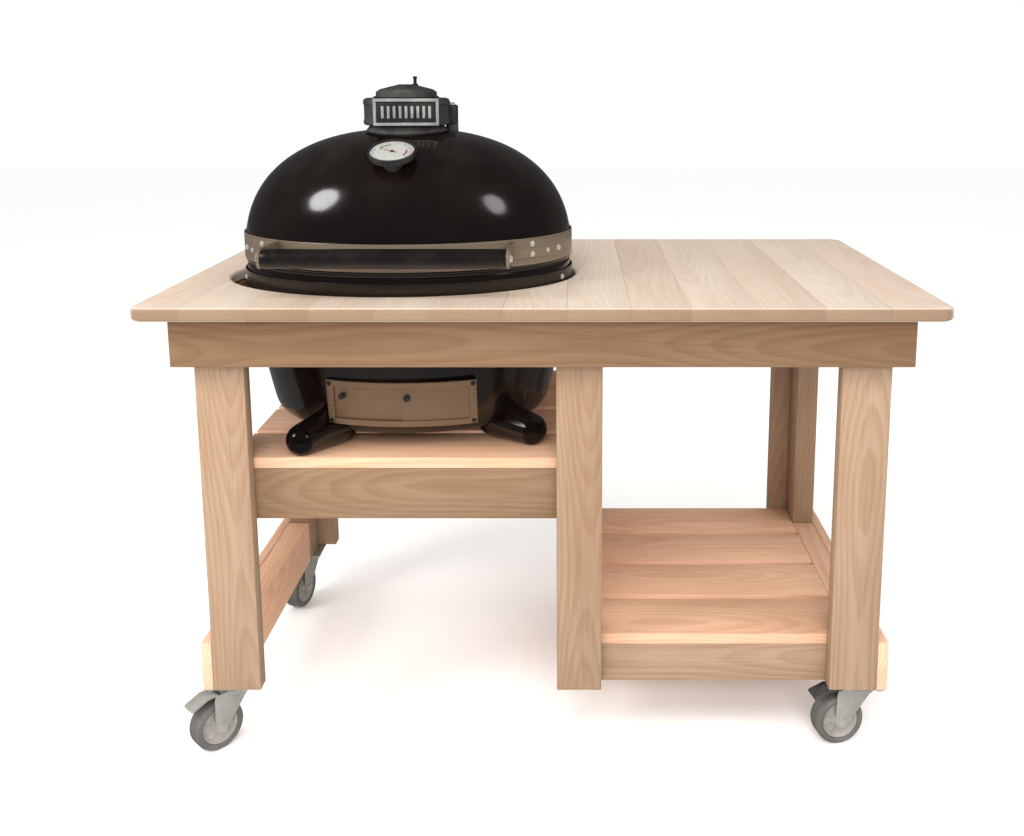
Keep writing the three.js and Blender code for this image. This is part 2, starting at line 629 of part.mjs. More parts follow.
// ---------------------------------------------------------------- ceramic feet
// a shoe with a round nose, cut to the bowl that stands on it
function shoe(noseX, noseY) {
  const centre = new THREE.Vector2(grill.x, grill.y);
  const nose = new THREE.Vector2(grill.x + noseX, grill.y + noseY);
  const inward = centre.clone().sub(nose).normalize();
  const points = [];
  for (const { radius, height, step } of shoeBalls) {
    const ball = new THREE.SphereGeometry(radius, 16, 10).getAttribute('position');
    const at = nose.clone().addScaledVector(inward, step);
    for (let k = 0; k < ball.count; k += 1) {
      const p = new THREE.Vector3().fromBufferAttribute(ball, k);
      points.push(p.add(new THREE.Vector3(at.x, at.y, deck.top + height)));
    }
  }
  const body = solid(new ConvexGeometry(points));
  const above = solid(block(-800, 400, -500, 500, deck.top + gap, deck.top + 200));
  const space = solid(oval([...bowlOutline(gap), [0, rimZ]]));
  const reach = draft.width / 2 + 2;
  const doorway = solid(block(draft.x - reach, draft.x + reach, -400, -100, draft.bottom - 2, draft.top));
  return surface(body.intersect(above).subtract(space).subtract(doorway));
}

// ---------------------------------------------------------------- casters
// each caster is built at its swivel axis, with the wheel behind it on the -X side, then turned
const crownTop = caster.plateTop - race.height - gap;

function casterPlate() {
  const z1 = caster.plateTop;
  const { plateX, plateY, plateThick } = caster;
  const plate = solid(block(-plateX, plateX, -plateY, plateY, z1 - plateThick, z1));
  const z0 = z1 - race.height;
  const ring = [[0, z0], [race.radius - 3, z0], [race.radius, z0 + 3], [race.radius, z1 - 3], [0, z1 - 3]];
  let body = plate.add(solid(lathe(ring, 18)));
  for (const [sx, sy] of [[-1, -1], [-1, 1], [1, -1], [1, 1]]) {
    const hole = new THREE.CylinderGeometry(race.holeRadius, race.holeRadius, 20, 8).rotateX(Math.PI / 2);
    body = body.subtract(solid(hole.translate(sx * race.holeX, sy * race.holeY, z1)));
  }
  return surface(body);
}

// a cheek seen from the side: from the crown down to a round boss at the axle
function forkCheek() {
  const outline = new THREE.Shape();
  outline.moveTo(fork.front, crownTop - 4);
  outline.lineTo(-fork.ear, crownTop - 4);
  outline.lineTo(-fork.ear - 3, crownTop - 15);
  outline.lineTo(-wheel.trail - fork.boss, wheel.radius);
  outline.absarc(-wheel.trail, wheel.radius, fork.boss, Math.PI, Math.PI * 1.9, false);
  outline.closePath();
  return outline;
}

function axleLine(halfLength) {
  const x = -wheel.trail;
  return [new THREE.Vector3(x, -halfLength, wheel.radius), new THREE.Vector3(x, halfLength, wheel.radius)];
}

function casterFork() {
  const z1 = crownTop;
  const { crown, drop, cheek, room, front } = fork;
  const underside = [[0, z1 - drop], [crown - 5, z1 - drop], [crown, z1 - 8]];
  let body = solid(lathe([...underside, [crown, z1 - 3], [crown - 4, z1], [0, z1]], 20));
  const inner = wheel.width / 2 + room;
  const sheet = { depth: cheek, bevelEnabled: false, curveSegments: 6 };
  for (const side of [-1, 1]) {
    const plate = new THREE.ExtrudeGeometry(forkCheek(), sheet);
    plate.rotateX(Math.PI / 2).translate(0, side > 0 ? inner + cheek : -inner, 0);
    body = body.add(solid(plate));
  }
  body = body.add(solid(block(-front - 2, front - 2, -inner - cheek, inner + cheek, z1 - 8, z1 - 3)));
  const clear = solid(bar(...axleLine(inner - gap), wheel.radius + room, 28));
  const axle = solid(bar(...axleLine(inner + fork.axleProud), fork.axle, 16));
  return surface(body.subtract(clear).add(axle));
}

function casterWheel() {
  const half = wheel.width / 2;
  const r = wheel.radius / Math.cos(Math.PI / wheel.sides); // so that a flat of the tread touches the floor
  const { boreRadius } = wheel;
  const { shoulder, step, rimOuter, rimInner, dish, hub, hubProud } = tyre;
  const side = [
    [boreRadius, -half - hubProud], [hub - 1, -half - hubProud], [hub, -half + dish],
    [rimInner, -half + dish], [rimOuter, -half], [shoulder, -half], [r, -half + step],
  ];
  const profile = closed([...side, ...side.map(([x, z]) => [x, -z]).reverse()]);
  const body = lathe(profile, wheel.sides).rotateX(Math.PI / 2).rotateY(Math.PI / wheel.sides);
  return body.translate(-wheel.trail, 0, wheel.radius);
}

function brakePedal() {
  const z1 = crownTop;
  const { pivot, pinRadius, pinDrop, width, thick, bend, tip, fall } = pedal;
  const heel = -pivot + 3;
  const side = new THREE.Shape();
  side.moveTo(heel, z1 - 5);
  side.lineTo(-bend, z1 - 5);
  side.lineTo(-tip + 2, z1 - 5 - fall);
  side.lineTo(-tip, z1 - 5 - fall - thick);
  side.lineTo(-tip + 4, z1 - 5 - fall - thick);
  side.lineTo(-bend + 1, z1 - 5 - thick);
  side.lineTo(heel, z1 - 5 - thick);
  side.closePath();
  const plate = new THREE.ExtrudeGeometry(side, { depth: width, bevelEnabled: false });
  plate.rotateX(Math.PI / 2).translate(0, width / 2, 0);
  const reach = wheel.width / 2 + fork.room - 0.5;
  const from = new THREE.Vector3(-pivot, -reach, z1 - pinDrop);
  const pin = bar(from, from.clone().setY(reach), pinRadius, 10);
  return surface(solid(plate).add(solid(pin)));
}

function addCasters() {
  for (const one of casters) {
    put(`caster_plate_${one.name}`, casterPlate(), 'zinc').position.set(one.x, one.y, 0);
    const turning = new THREE.Group();
    turning.position.set(one.x, one.y, 0);
    turning.rotation.z = THREE.MathUtils.degToRad(one.turn);
    group.add(turning);
    put(`caster_fork_${one.name}`, casterFork(), 'zinc', turning);
    put(`wheel_${one.name}`, casterWheel(), 'rubber', turning);
    if (one.brake) put(`brake_pedal_${one.name}`, brakePedal(), 'zinc', turning);
  }
}

// ---------------------------------------------------------------- assembly
put('table_top', tableTop(), 'cypress');
aprons();
legs();
put('side_rail_left', lowSideRail(-1), 'cypress');
put('side_rail_right', lowSideRail(1), 'cypress');
lowerShelf();
grillShelf();

put('lower_bowl', lowerBowl(), 'glazed');
put('firebox', fireboxShell(), 'fireClay');
put('fire_grate', ashGrate(), 'castIron');
put('cooking_grate_left', cookingGrate(-1), 'castIron');
put('cooking_grate_right', cookingGrate(1), 'castIron');
const lowBand = bowl.rimOuter + steelBand.lowPlay;
put('base_band', band(steelBand.low, steelBand.high, lowBand, lowBand + steelBand.lowThick), 'stainless');
put('gasket', band(rimZ + gap, lid.bottom - gap, gasket.inner, gasket.outer), 'felt');
put('dome', dome(), 'glazed');
const lidBand = grill.halfWidth - steelBand.lidPlay;
put('lid_band', band(lid.springZ, lid.bandTop, lidBand, lidBand + steelBand.thick), 'stainless');
put('thermometer_case', thermometerCase(), 'dialFace');
put('dial_needle', dialNeedle(), 'needle');
put('chimney_collar', chimneyCollar(), 'castIron');
put('chimney_cap', chimneyCap(), 'castIron');
put('damper_disc', damperDisc(), 'castIron');
put('handle_bar', handleBar(), 'blackGrip');
put('handle_bracket_left', handleBracket(-1), 'stainless');
put('handle_bracket_right', handleBracket(1), 'stainless');
put('hinge_lower', hingeLower(), 'stainless');
put('hinge_upper', hingeUpper(), 'stainless');
put('hinge_pin', hingePin(), 'zinc');
put('draft_frame', draftFrame(), 'stainless');
put('draft_door_left', draftDoor(2.6, -137, 7, -112), 'stainless');
put('draft_door_right', draftDoor(4.9, 3, 137, 14), 'stainless');
put('foot_front_left', shoe(-182, -228), 'glazed');
put('foot_front_right', shoe(258, -168), 'glazed');
put('foot_rear', shoe(-30, 232), 'glazed');
addCasters();

export default group;
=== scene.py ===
import math
import random

import bmesh
import bpy
from mathutils import Matrix, Vector


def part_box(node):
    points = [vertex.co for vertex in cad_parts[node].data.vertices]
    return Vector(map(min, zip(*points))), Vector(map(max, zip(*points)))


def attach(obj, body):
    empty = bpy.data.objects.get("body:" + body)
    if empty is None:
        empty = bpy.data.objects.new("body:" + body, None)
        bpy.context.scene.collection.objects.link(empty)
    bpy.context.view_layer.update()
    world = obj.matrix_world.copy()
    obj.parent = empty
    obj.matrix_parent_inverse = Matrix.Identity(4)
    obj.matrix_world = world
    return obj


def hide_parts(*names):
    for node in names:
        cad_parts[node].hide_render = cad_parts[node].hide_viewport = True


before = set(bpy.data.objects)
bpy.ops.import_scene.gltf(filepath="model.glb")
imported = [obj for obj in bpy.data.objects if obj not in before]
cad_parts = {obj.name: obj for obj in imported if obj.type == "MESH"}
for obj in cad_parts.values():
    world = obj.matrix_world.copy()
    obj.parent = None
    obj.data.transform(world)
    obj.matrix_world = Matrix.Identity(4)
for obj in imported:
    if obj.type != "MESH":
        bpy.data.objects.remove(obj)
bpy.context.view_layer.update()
print("frame loaded:", len(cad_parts), "nodes")

mm = 0.001
grill = {"x": -0.286, "y": -0.056, "half": 0.337, "ratio": 0.724}  # plan of the oval grill

# ---- camera, floor and light
view = {"place": (0.0558, -2.1757, 1.3026), "down": 9.39, "lens": 35.96, "shift": (-0.06, -0.16)}


def addCamera():
    data = bpy.data.cameras.new("studioCamera")
    data.sensor_width = 36
    data.lens = view["lens"]
    data.shift_x, data.shift_y = view["shift"]
    camera = bpy.data.objects.new("studioCamera", data)
    camera.location = view["place"]
    camera.rotation_euler = (math.radians(90 - view["down"]), 0, 0)
    bpy.context.scene.collection.objects.link(camera)
    bpy.context.scene.camera = camera


addCamera()

studio = {
    "sky": (1.0, 0.995, 0.98),
    "skyStrength": 1.0,
    "skyInGloss": 0.11,
    "backdrop": 1.05,
    "lamps": [  # name, place, aim, width, height, watts, colour, whether it shows in reflections
        ("frontKey", (-0.3, -2.5, 3.3), (0.0, 0.0, 0.6), 2.2, 1.4, 54, (1.0, 0.985, 0.96), False),
        ("lowFill", (0.1, -3.2, 1.9), (0.2, 0.0, 0.35), 2.2, 0.9, 60, (1.0, 0.99, 0.97), False),
        ("leftFill", (-3.0, -1.4, 1.5), (-0.3, 0.0, 0.9), 1.0, 1.0, 22, (1.0, 0.99, 0.97), False),
        ("leftBox", (-2.6, -1.6, 2.78), (-0.3, -0.1, 0.9), 0.95, 1.1, 34, (1.0, 0.99, 0.97), True),
        ("rightBox", (2.75, -1.9, 3.2), (0.1, 0.0, 0.8), 1.0, 1.3, 17, (1.0, 0.99, 0.97), True),
    ],
}


def addLamp(name, place, aim, width, height, watts, colour, shows):
    data = bpy.data.lights.new(name, "AREA")
    data.shape = "ELLIPSE" if shows else "RECTANGLE"
    data.size, data.size_y = width, height
    data.energy = watts
    data.color = colour
    lamp = bpy.data.objects.new(name, data)
    lamp.location = place
    lamp.rotation_euler = (Vector(aim) - Vector(place)).to_track_quat("-Z", "Y").to_euler()
    lamp.visible_glossy = shows
    bpy.context.scene.collection.objects.link(lamp)


def addSky():
    # white behind the object, dimmer where it shows in gloss, as in a studio with dark walls
    world = bpy.data.worlds.new("studioSky")
    world.use_nodes = True
    tree = world.node_tree
    sky = tree.nodes["Background"]
    sky.inputs["Color"].default_value = (*studio["sky"], 1)
    path = tree.nodes.new("ShaderNodeLightPath")
    level = studio["skyStrength"]
    for output, target in (("Is Glossy Ray", studio["skyInGloss"]), ("Is Camera Ray", studio["backdrop"])):
        pick = tree.nodes.new("ShaderNodeMix")
        tree.links.new(path.outputs[output], pick.inputs[0])
        if isinstance(level, float):
            pick.inputs[2].default_value = level
        else:
            tree.links.new(level, pick.inputs[2])
        pick.inputs[3].default_value = target
        level = pick.outputs[0]
    tree.links.new(level, sky.inputs["Strength"])
    bpy.context.scene.world = world


def addStudio():
    addSky()
    bpy.context.scene.view_settings.view_transform = "Standard"
    for lamp in studio["lamps"]:
        addLamp(*lamp)


addStudio()


# ---- small helpers for node trees
def addNode(tree, kind, **settings):
    made = tree.nodes.new(kind)
    for key, value in settings.items():
        setattr(made, key, value)
    return made


def feed(tree, socket, source):
    if isinstance(source, bpy.types.NodeSocket):
        tree.links.new(source, socket)
    elif source is not None:
        socket.default_value = source


def sums(tree, operation, a, b=None):
    made = addNode(tree, "ShaderNodeMath", operation=operation)
    for socket, source in zip(made.inputs, (a, b)):
        feed(tree, socket, source)
    return made.outputs[0]


def plus(tree, a, b):
    return sums(tree, "ADD", a, b)


def minus(tree, a, b):
    return sums(tree, "SUBTRACT", a, b)


def times(tree, a, b):
    return sums(tree, "MULTIPLY", a, b)


def vectorSums(tree, operation, a, b=None):
    made = addNode(tree, "ShaderNodeVectorMath", operation=operation)
    feed(tree, made.inputs[0], a)
    feed(tree, made.inputs[1], b)
    return made.outputs["Value" if operation in ("LENGTH", "DOT_PRODUCT") else "Vector"]


def speckle(tree, vector, scale, detail=3.0, roughness=0.5, distortion=0.0):
    made = addNode(tree, "ShaderNodeTexNoise")
    feed(tree, made.inputs["Vector"], vector)
    feed(tree, made.inputs["Scale"], scale)
    made.inputs["Detail"].default_value = detail
    made.inputs["Roughness"].default_value = roughness
    made.inputs["Distortion"].default_value = distortion
    return made.outputs["Fac"]


def stretched(tree, vector, scale):
    return vectorSums(tree, "MULTIPLY", vector, scale)


def remap(tree, value, low, high, newLow=0.0, newHigh=1.0, smooth=True):
    made = addNode(tree, "ShaderNodeMapRange", interpolation_type="SMOOTHSTEP" if smooth else "LINEAR")
    feed(tree, made.inputs["Value"], value)
    feed(tree, made.inputs["From Min"], low)
    feed(tree, made.inputs["From Max"], high)
    feed(tree, made.inputs["To Min"], newLow)
    feed(tree, made.inputs["To Max"], newHigh)
    return made.outputs["Result"]


def blend(tree, factor, a, b, mode="MIX"):
    made = addNode(tree, "ShaderNodeMix", data_type="RGBA", blend_type=mode)
    feed(tree, made.inputs["Factor"], factor)
    feed(tree, made.inputs[6], a if isinstance(a, bpy.types.NodeSocket) else (*a, 1))
    feed(tree, made.inputs[7], b if isinstance(b, bpy.types.NodeSocket) else (*b, 1))
    return made.outputs[2]


def newGroup(name, inputs, outputs):
    tree = bpy.data.node_groups.new(name, "ShaderNodeTree")
    kinds = {"v": "NodeSocketVector", "f": "NodeSocketFloat", "c": "NodeSocketColor"}
    for label, kind, value in inputs:
        socket = tree.interface.new_socket(label, in_out="INPUT", socket_type=kinds[kind])
        if value is not None:
            socket.default_value = value
    for label, kind in outputs:
        tree.interface.new_socket(label, in_out="OUTPUT", socket_type=kinds[kind])
    return tree, addNode(tree, "NodeGroupInput").outputs, addNode(tree, "NodeGroupOutput").inputs


# ---- shared surface effects
def makeWoodGrain():
    tree, given, out = newGroup(
        "woodGrain",
        [("Grain", "v", None), ("Ring Width", "f", 0.006), ("Wander", "f", 0.03), ("Fibre", "f", 1.0)],
        [("Rings", "f"), ("Fibre", "f"), ("Patches", "f"), ("Height", "f")],
    )
    slow = speckle(tree, stretched(tree, given["Grain"], (0.8, 4.0, 4.0)), 1.0, 2.0)
    slower = speckle(tree, stretched(tree, given["Grain"], (0.85, 1.5, 1.5)), 1.0, 1.0)
    parts = addNode(tree, "ShaderNodeSeparateXYZ")
    feed(tree, parts.inputs[0], given["Grain"])
    sway = times(tree, minus(tree, slow, 0.5), given["Wander"])
    lift = times(tree, minus(tree, slower, 0.36), times(tree, given["Wander"], 3.4))
    across = plus(tree, parts.outputs[1], sway)
    depth = plus(tree, parts.outputs[2], lift)
    squares = plus(tree, times(tree, across, across), times(tree, depth, depth))
    radius = sums(tree, "DIVIDE", sums(tree, "SQRT", squares), given["Ring Width"])
    ragged = speckle(tree, stretched(tree, given["Grain"], (6.0, 60.0, 60.0)), 1.0, 3.0)
    turns = plus(tree, radius, times(tree, ragged, 0.55))
    saw = sums(tree, "FRACT", turns)
    rise = remap(tree, saw, 0.15, 0.86)
    fall = remap(tree, saw, 0.88, 1.0, 1.0, 0.0)
    rings = times(tree, rise, fall)
    streaks = speckle(tree, stretched(tree, given["Grain"], (7.0, 420.0, 420.0)), given["Fibre"], 3.0, 0.6)
    patches = speckle(tree, stretched(tree, given["Grain"], (2.2, 14.0, 14.0)), 1.0, 3.0, 0.55)
    feed(tree, out["Rings"], rings)
    feed(tree, out["Fibre"], streaks)
    feed(tree, out["Patches"], patches)
    feed(tree, out["Height"], plus(tree, times(tree, streaks, 0.6), times(tree, rings, 0.4)))
    return tree


def makeDust():
    tree, given, out = newGroup(
        "settledDust",
        [("Place", "v", None), ("Scale", "f", 9.0), ("Amount", "f", 0.3)],
        [("Mask", "f")],
    )
    facing = addNode(tree, "ShaderNodeSeparateXYZ")
    feed(tree, facing.inputs[0], addNode(tree, "ShaderNodeNewGeometry").outputs["Normal"])
    up = remap(tree, facing.outputs[2], 0.1, 1.0)
    cloud = remap(tree, speckle(tree, given["Place"], given["Scale"], 5.0, 0.6), 0.42, 0.75)
    feed(tree, out["Mask"], times(tree, times(tree, up, cloud), given["Amount"]))
    return tree


def makeBrushed():
    tree, given, out = newGroup(
        "brushedLines",
        [("Place", "v", None), ("Stretch", "v", (4.0, 4.0, 700.0)), ("Wear Scale", "f", 14.0)],
        [("Lines", "f"), ("Wear", "f")],
    )
    lines = speckle(tree, vectorSums(tree, "MULTIPLY", given["Place"], given["Stretch"]), 1.0, 4.0, 0.65)
    wear = remap(tree, speckle(tree, given["Place"], given["Wear Scale"], 4.0, 0.6), 0.4, 0.72)
    feed(tree, out["Lines"], lines)
    feed(tree, out["Wear"], wear)
    return tree


def makeCastSkin():
    tree, given, out = newGroup(
        "castSkin",
        [("Place", "v", None), ("Grit Scale", "f", 520.0), ("Pit Scale", "f", 120.0)],
        [("Grit", "f"), ("Pits", "f"), ("Stain", "f"), ("Height", "f")],
    )
    grit = speckle(tree, given["Place"], given["Grit Scale"], 3.0, 0.6)
    cells = addNode(tree, "ShaderNodeTexVoronoi")
    feed(tree, cells.inputs["Vector"], given["Place"])
    feed(tree, cells.inputs["Scale"], given["Pit Scale"])
    pits = remap(tree, cells.outputs["Distance"], 0.05, 0.4)
    stain = remap(tree, speckle(tree, given["Place"], 16.0, 5.0, 0.62), 0.38, 0.7)
    feed(tree, out["Grit"], grit)
    feed(tree, out["Pits"], pits)
    feed(tree, out["Stain"], stain)
    feed(tree, out["Height"], plus(tree, times(tree, grit, 0.6), times(tree, pits, 0.4)))
    return tree


def makeScuffs():
    tree, given, out = newGroup(
        "scuffs",
        [("Place", "v", None), ("Scale", "f", 30.0), ("Amount", "f", 0.5)],
        [("Mask", "f"), ("Smears", "f")],
    )
    warp = vectorSums(tree, "ADD", given["Place"], stretched(tree, given["Place"], (0.4, 0.2, 0.7)))
    fine = speckle(tree, stretched(tree, warp, (1.0, 9.0, 2.2)), given["Scale"], 4.0, 0.7)
    smears = speckle(tree, given["Place"], 7.0, 4.0, 0.55, 0.6)
    feed(tree, out["Mask"], times(tree, remap(tree, fine, 0.62, 0.74), given["Amount"]))
    feed(tree, out["Smears"], remap(tree, smears, 0.35, 0.75))
    return tree


effects = {
    "grain": makeWoodGrain(),
    "dust": makeDust(),
    "brushed": makeBrushed(),
    "cast": makeCastSkin(),
    "scuffs": makeScuffs(),
}


# ---- materials
def newMaterial(name):
    material = bpy.data.materials.new(name)
    material.use_nodes = True
    tree = material.node_tree
    return material, tree, tree.nodes["Principled BSDF"]


def useEffect(tree, name, place=None, **values):
    made = addNode(tree, "ShaderNodeGroup", node_tree=effects[name])
    if place is not None:
        feed(tree, made.inputs["Place"], place)
    for key, value in values.items():
        feed(tree, made.inputs[key.replace("_", " ")], value)
    return made.outputs


def objectPlace(tree):
    return addNode(tree, "ShaderNodeTexCoord").outputs["Object"]


def bump(tree, shader, height, strength, distance=mm):
    made = addNode(tree, "ShaderNodeBump")
    made.inputs["Strength"].default_value = strength
    made.inputs["Distance"].default_value = distance
    feed(tree, made.inputs["Height"], height)
    feed(tree, shader.inputs["Normal"], made.outputs["Normal"])


def makeWood(name, look):
    material, tree, shader = newMaterial(name)
    grain = addNode(tree, "ShaderNodeAttribute", attribute_name="grain").outputs["Vector"]
    tone = addNode(tree, "ShaderNodeAttribute", attribute_name="tone").outputs["Fac"]
    figure = addNode(tree, "ShaderNodeGroup", node_tree=effects["grain"])
    feed(tree, figure.inputs["Grain"], grain)
    feed(tree, figure.inputs["Ring Width"], look["ringWidth"])
    feed(tree, figure.inputs["Wander"], look["wander"])
    figure = figure.outputs
    ramp = addNode(tree, "ShaderNodeValToRGB")
    ramp.color_ramp.interpolation = "EASE"
    ramp.color_ramp.elements[0].color = (*look["tones"][0], 1)
    ramp.color_ramp.elements[1].color = (*look["tones"][2], 1)
    middle = ramp.color_ramp.elements.new(0.5)
    middle.color = (*look["tones"][1], 1)
    feed(tree, ramp.inputs[0], tone)
    late = blend(tree, 1.0, ramp.outputs["Color"], look["late"], "MULTIPLY")
    ringed = blend(tree, times(tree, figure["Rings"], look["ringStrength"]), ramp.outputs["Color"], late)
    patch = remap(tree, figure["Patches"], 0.3, 0.75, 0.0, look["patchStrength"])
    patchy = blend(tree, patch, ringed, blend(tree, 1.0, ringed, look["late"], "MULTIPLY"))
    streak = remap(tree, figure["Fibre"], 0.42, 0.72, 0.0, look["fibreStrength"])
    fibrous = blend(tree, streak, patchy, blend(tree, 1.0, patchy, look["late"], "MULTIPLY"))
    facing = addNode(tree, "ShaderNodeSeparateXYZ")
    feed(tree, facing.inputs[0], addNode(tree, "ShaderNodeTexCoord").outputs["Normal"])
    ends = remap(tree, sums(tree, "ABSOLUTE", facing.outputs[1]), 0.35, 0.85, 0.0, look["endGrain"])
    sawn = blend(tree, ends, fibrous, blend(tree, 1.0, fibrous, (0.40, 0.335, 0.265), "MULTIPLY"))
    feed(tree, shader.inputs["Base Color"], sawn)
    rough = remap(tree, figure["Fibre"], 0.2, 0.8, look["roughness"] - 0.07, look["roughness"] + 0.1, False)
    feed(tree, shader.inputs["Roughness"], rough)
    shader.inputs["Specular IOR Level"].default_value = 0.35
    bump(tree, shader, figure["Height"], look["bump"], 0.4 * mm)
    return material


woodLooks = {  # endGrain darkens faces across Y, where boards that run front to back are sawn off
    "counterWood": {
        "tones": [(0.62, 0.53, 0.445), (0.595, 0.485, 0.405), (0.56, 0.45, 0.355)],
        "late": (0.84, 0.72, 0.62), "ringWidth": 0.008, "wander": 0.05, "ringStrength": 0.26,
        "patchStrength": 0.3, "fibreStrength": 0.3, "roughness": 0.5, "bump": 0.2, "endGrain": 1.0,
    },
    "frameWood": {
        # the darkest tone, used on the aprons, is partly painted shade from the counter's overhang above them
        "tones": [(0.35, 0.243, 0.163), (0.30, 0.203, 0.128), (0.17, 0.096, 0.047)],
        "late": (0.70, 0.54, 0.42), "ringWidth": 0.007, "wander": 0.06, "ringStrength": 0.32,
        "patchStrength": 0.36, "fibreStrength": 0.36, "roughness": 0.55, "bump": 0.3, "endGrain": 0.0,
    },
    # slatWood is lighter than frameWood partly as painted light, for the light that falls on the shelf slats
    # from above and in front
    "slatWood": {
        "tones": [(0.76, 0.50, 0.35), (0.72, 0.46, 0.315), (0.66, 0.42, 0.28)],
        "late": (0.74, 0.58, 0.46), "ringWidth": 0.008, "wander": 0.05, "ringStrength": 0.30,
        "patchStrength": 0.36, "fibreStrength": 0.36, "roughness": 0.55, "bump": 0.3, "endGrain": 0.0,
    },
}


def makeGlaze():
    material, tree, shader = newMaterial("blackGlaze")
    place = objectPlace(tree)
    scuffs = useEffect(tree, "scuffs", place, Scale=45.0, Amount=0.35)
    dust = useEffect(tree, "dust", place, Scale=13.0, Amount=0.10)
    pool = remap(tree, speckle(tree, place, 5.0, 4.0, 0.5), 0.35, 0.7)
    base = blend(tree, pool, (0.0030, 0.0017, 0.0015), (0.0058, 0.0034, 0.0028))
    dusty = blend(tree, dust["Mask"], base, (0.06, 0.052, 0.045))
    feed(tree, shader.inputs["Base Color"], dusty)
    ripple = speckle(tree, place, 60.0, 3.0, 0.5)
    grit = speckle(tree, place, 420.0, 2.0, 0.5)
    satin = plus(tree, remap(tree, grit, 0.3, 0.7, 0.10, 0.17), times(tree, scuffs["Mask"], 0.15))
    feed(tree, shader.inputs["Roughness"], satin)
    shader.inputs["Coat Roughness"].default_value = 0.06
    feed(tree, shader.inputs["Coat Weight"], remap(tree, scuffs["Smears"], 0.0, 1.0, 0.22, 0.12))
    height = plus(tree, times(tree, ripple, 0.8), times(tree, grit, 0.12))
    bump(tree, shader, height, 0.12, 0.6 * mm)
    return material


def makeFireClay():
    material, tree, shader = newMaterial("fireClay")
    place = objectPlace(tree)
    skin = useEffect(tree, "cast", place, Grit_Scale=300.0, Pit_Scale=80.0)
    soot = remap(tree, speckle(tree, place, 6.0, 5.0, 0.6), 0.35, 0.68)
    clay = blend(tree, skin["Grit"], (0.44, 0.36, 0.27), (0.62, 0.53, 0.42))
    smoked = blend(tree, times(tree, soot, 0.35), clay, (0.13, 0.10, 0.085))
    feed(tree, shader.inputs["Base Color"], smoked)
    feed(tree, shader.inputs["Roughness"], remap(tree, skin["Pits"], 0.0, 1.0, 0.8, 0.95))
    bump(tree, shader, skin["Height"], 0.6, 1.2 * mm)
    return material


def makeIron(name, dark, light, roughness, metal):
    material, tree, shader = newMaterial(name)
    place = objectPlace(tree)
    skin = useEffect(tree, "cast", place)
    dust = useEffect(tree, "dust", place, Scale=20.0, Amount=0.2)
    base = blend(tree, skin["Stain"], dark, light)
    gritty = blend(tree, times(tree, skin["Grit"], 0.4), base, light)
    feed(tree, shader.inputs["Base Color"], blend(tree, dust["Mask"], gritty, (0.2, 0.18, 0.16)))
    rough = remap(tree, skin["Grit"], 0.2, 0.8, roughness - 0.08, roughness + 0.1)
    feed(tree, shader.inputs["Roughness"], rough)
    feed(tree, shader.inputs["Metallic"], remap(tree, skin["Stain"], 0.0, 1.0, metal, metal * 0.7))
    bump(tree, shader, skin["Height"], 0.45, 0.5 * mm)
    return material


def makeSteel(name, colour, roughness, stretch, metal):
    material, tree, shader = newMaterial(name)
    place = objectPlace(tree)
    brushed = useEffect(tree, "brushed", place, Stretch=stretch)
    scuffs = useEffect(tree, "scuffs", place, Scale=60.0, Amount=0.5)
    shade = tuple(c * 0.86 for c in colour)
    lined = blend(tree, remap(tree, brushed["Lines"], 0.3, 0.7), shade, colour)
    worn = blend(tree, times(tree, brushed["Wear"], 0.2), lined, tuple(c * 0.7 for c in colour))
    feed(tree, shader.inputs["Base Color"], worn)
    shader.inputs["Metallic"].default_value = metal
    rough = remap(tree, brushed["Lines"], 0.25, 0.75, roughness - 0.06, roughness + 0.12)
    feed(tree, shader.inputs["Roughness"], plus(tree, rough, times(tree, scuffs["Mask"], 0.2)))
    bump(tree, shader, brushed["Lines"], 0.12, 0.15 * mm)
    return material


def makeCoated(name, dark, light, roughness, gritScale, bumpStrength=0.25):
    material, tree, shader = newMaterial(name)
    place = objectPlace(tree)
    skin = useEffect(tree, "cast", place, Grit_Scale=gritScale, Pit_Scale=gritScale * 0.4)
    scuffs = useEffect(tree, "scuffs", place, Scale=40.0, Amount=0.5)
    base = blend(tree, remap(tree, skin["Stain"], 0.0, 1.0, 0.0, 0.8), dark, light)
    feed(tree, shader.inputs["Base Color"], blend(tree, scuffs["Mask"], base, light))
    rough = remap(tree, skin["Grit"], 0.25, 0.75, roughness - 0.06, roughness + 0.08)
    feed(tree, shader.inputs["Roughness"], rough)
    bump(tree, shader, skin["Height"], bumpStrength, 0.3 * mm)
    return material


def makeFelt():
    material, tree, shader = newMaterial("feltRope")
    place = objectPlace(tree)
    fuzz = speckle(tree, place, 900.0, 4.0, 0.7)
    wisps = speckle(tree, stretched(tree, place, (1.0, 1.0, 4.0)), 260.0, 3.0, 0.6)
    feed(tree, shader.inputs["Base Color"], blend(tree, fuzz, (0.012, 0.011, 0.010), (0.05, 0.047, 0.044)))
    feed(tree, shader.inputs["Roughness"], remap(tree, wisps, 0.2, 0.8, 0.85, 1.0))
    bump(tree, shader, plus(tree, fuzz, wisps), 0.8, 0.6 * mm)
    return material


def makeGlass():
    material, tree, shader = newMaterial("dialGlass")
    place = objectPlace(tree)
    smear = speckle(tree, place, 30.0, 3.0, 0.6)
    feed(tree, shader.inputs["Base Color"], blend(tree, smear, (0.97, 0.99, 0.98), (1.0, 1.0, 1.0)))
    feed(tree, shader.inputs["Roughness"], remap(tree, smear, 0.3, 0.8, 0.0, 0.05))
    shader.inputs["Transmission Weight"].default_value = 1.0
    shader.inputs["IOR"].default_value = 1.12
    return material


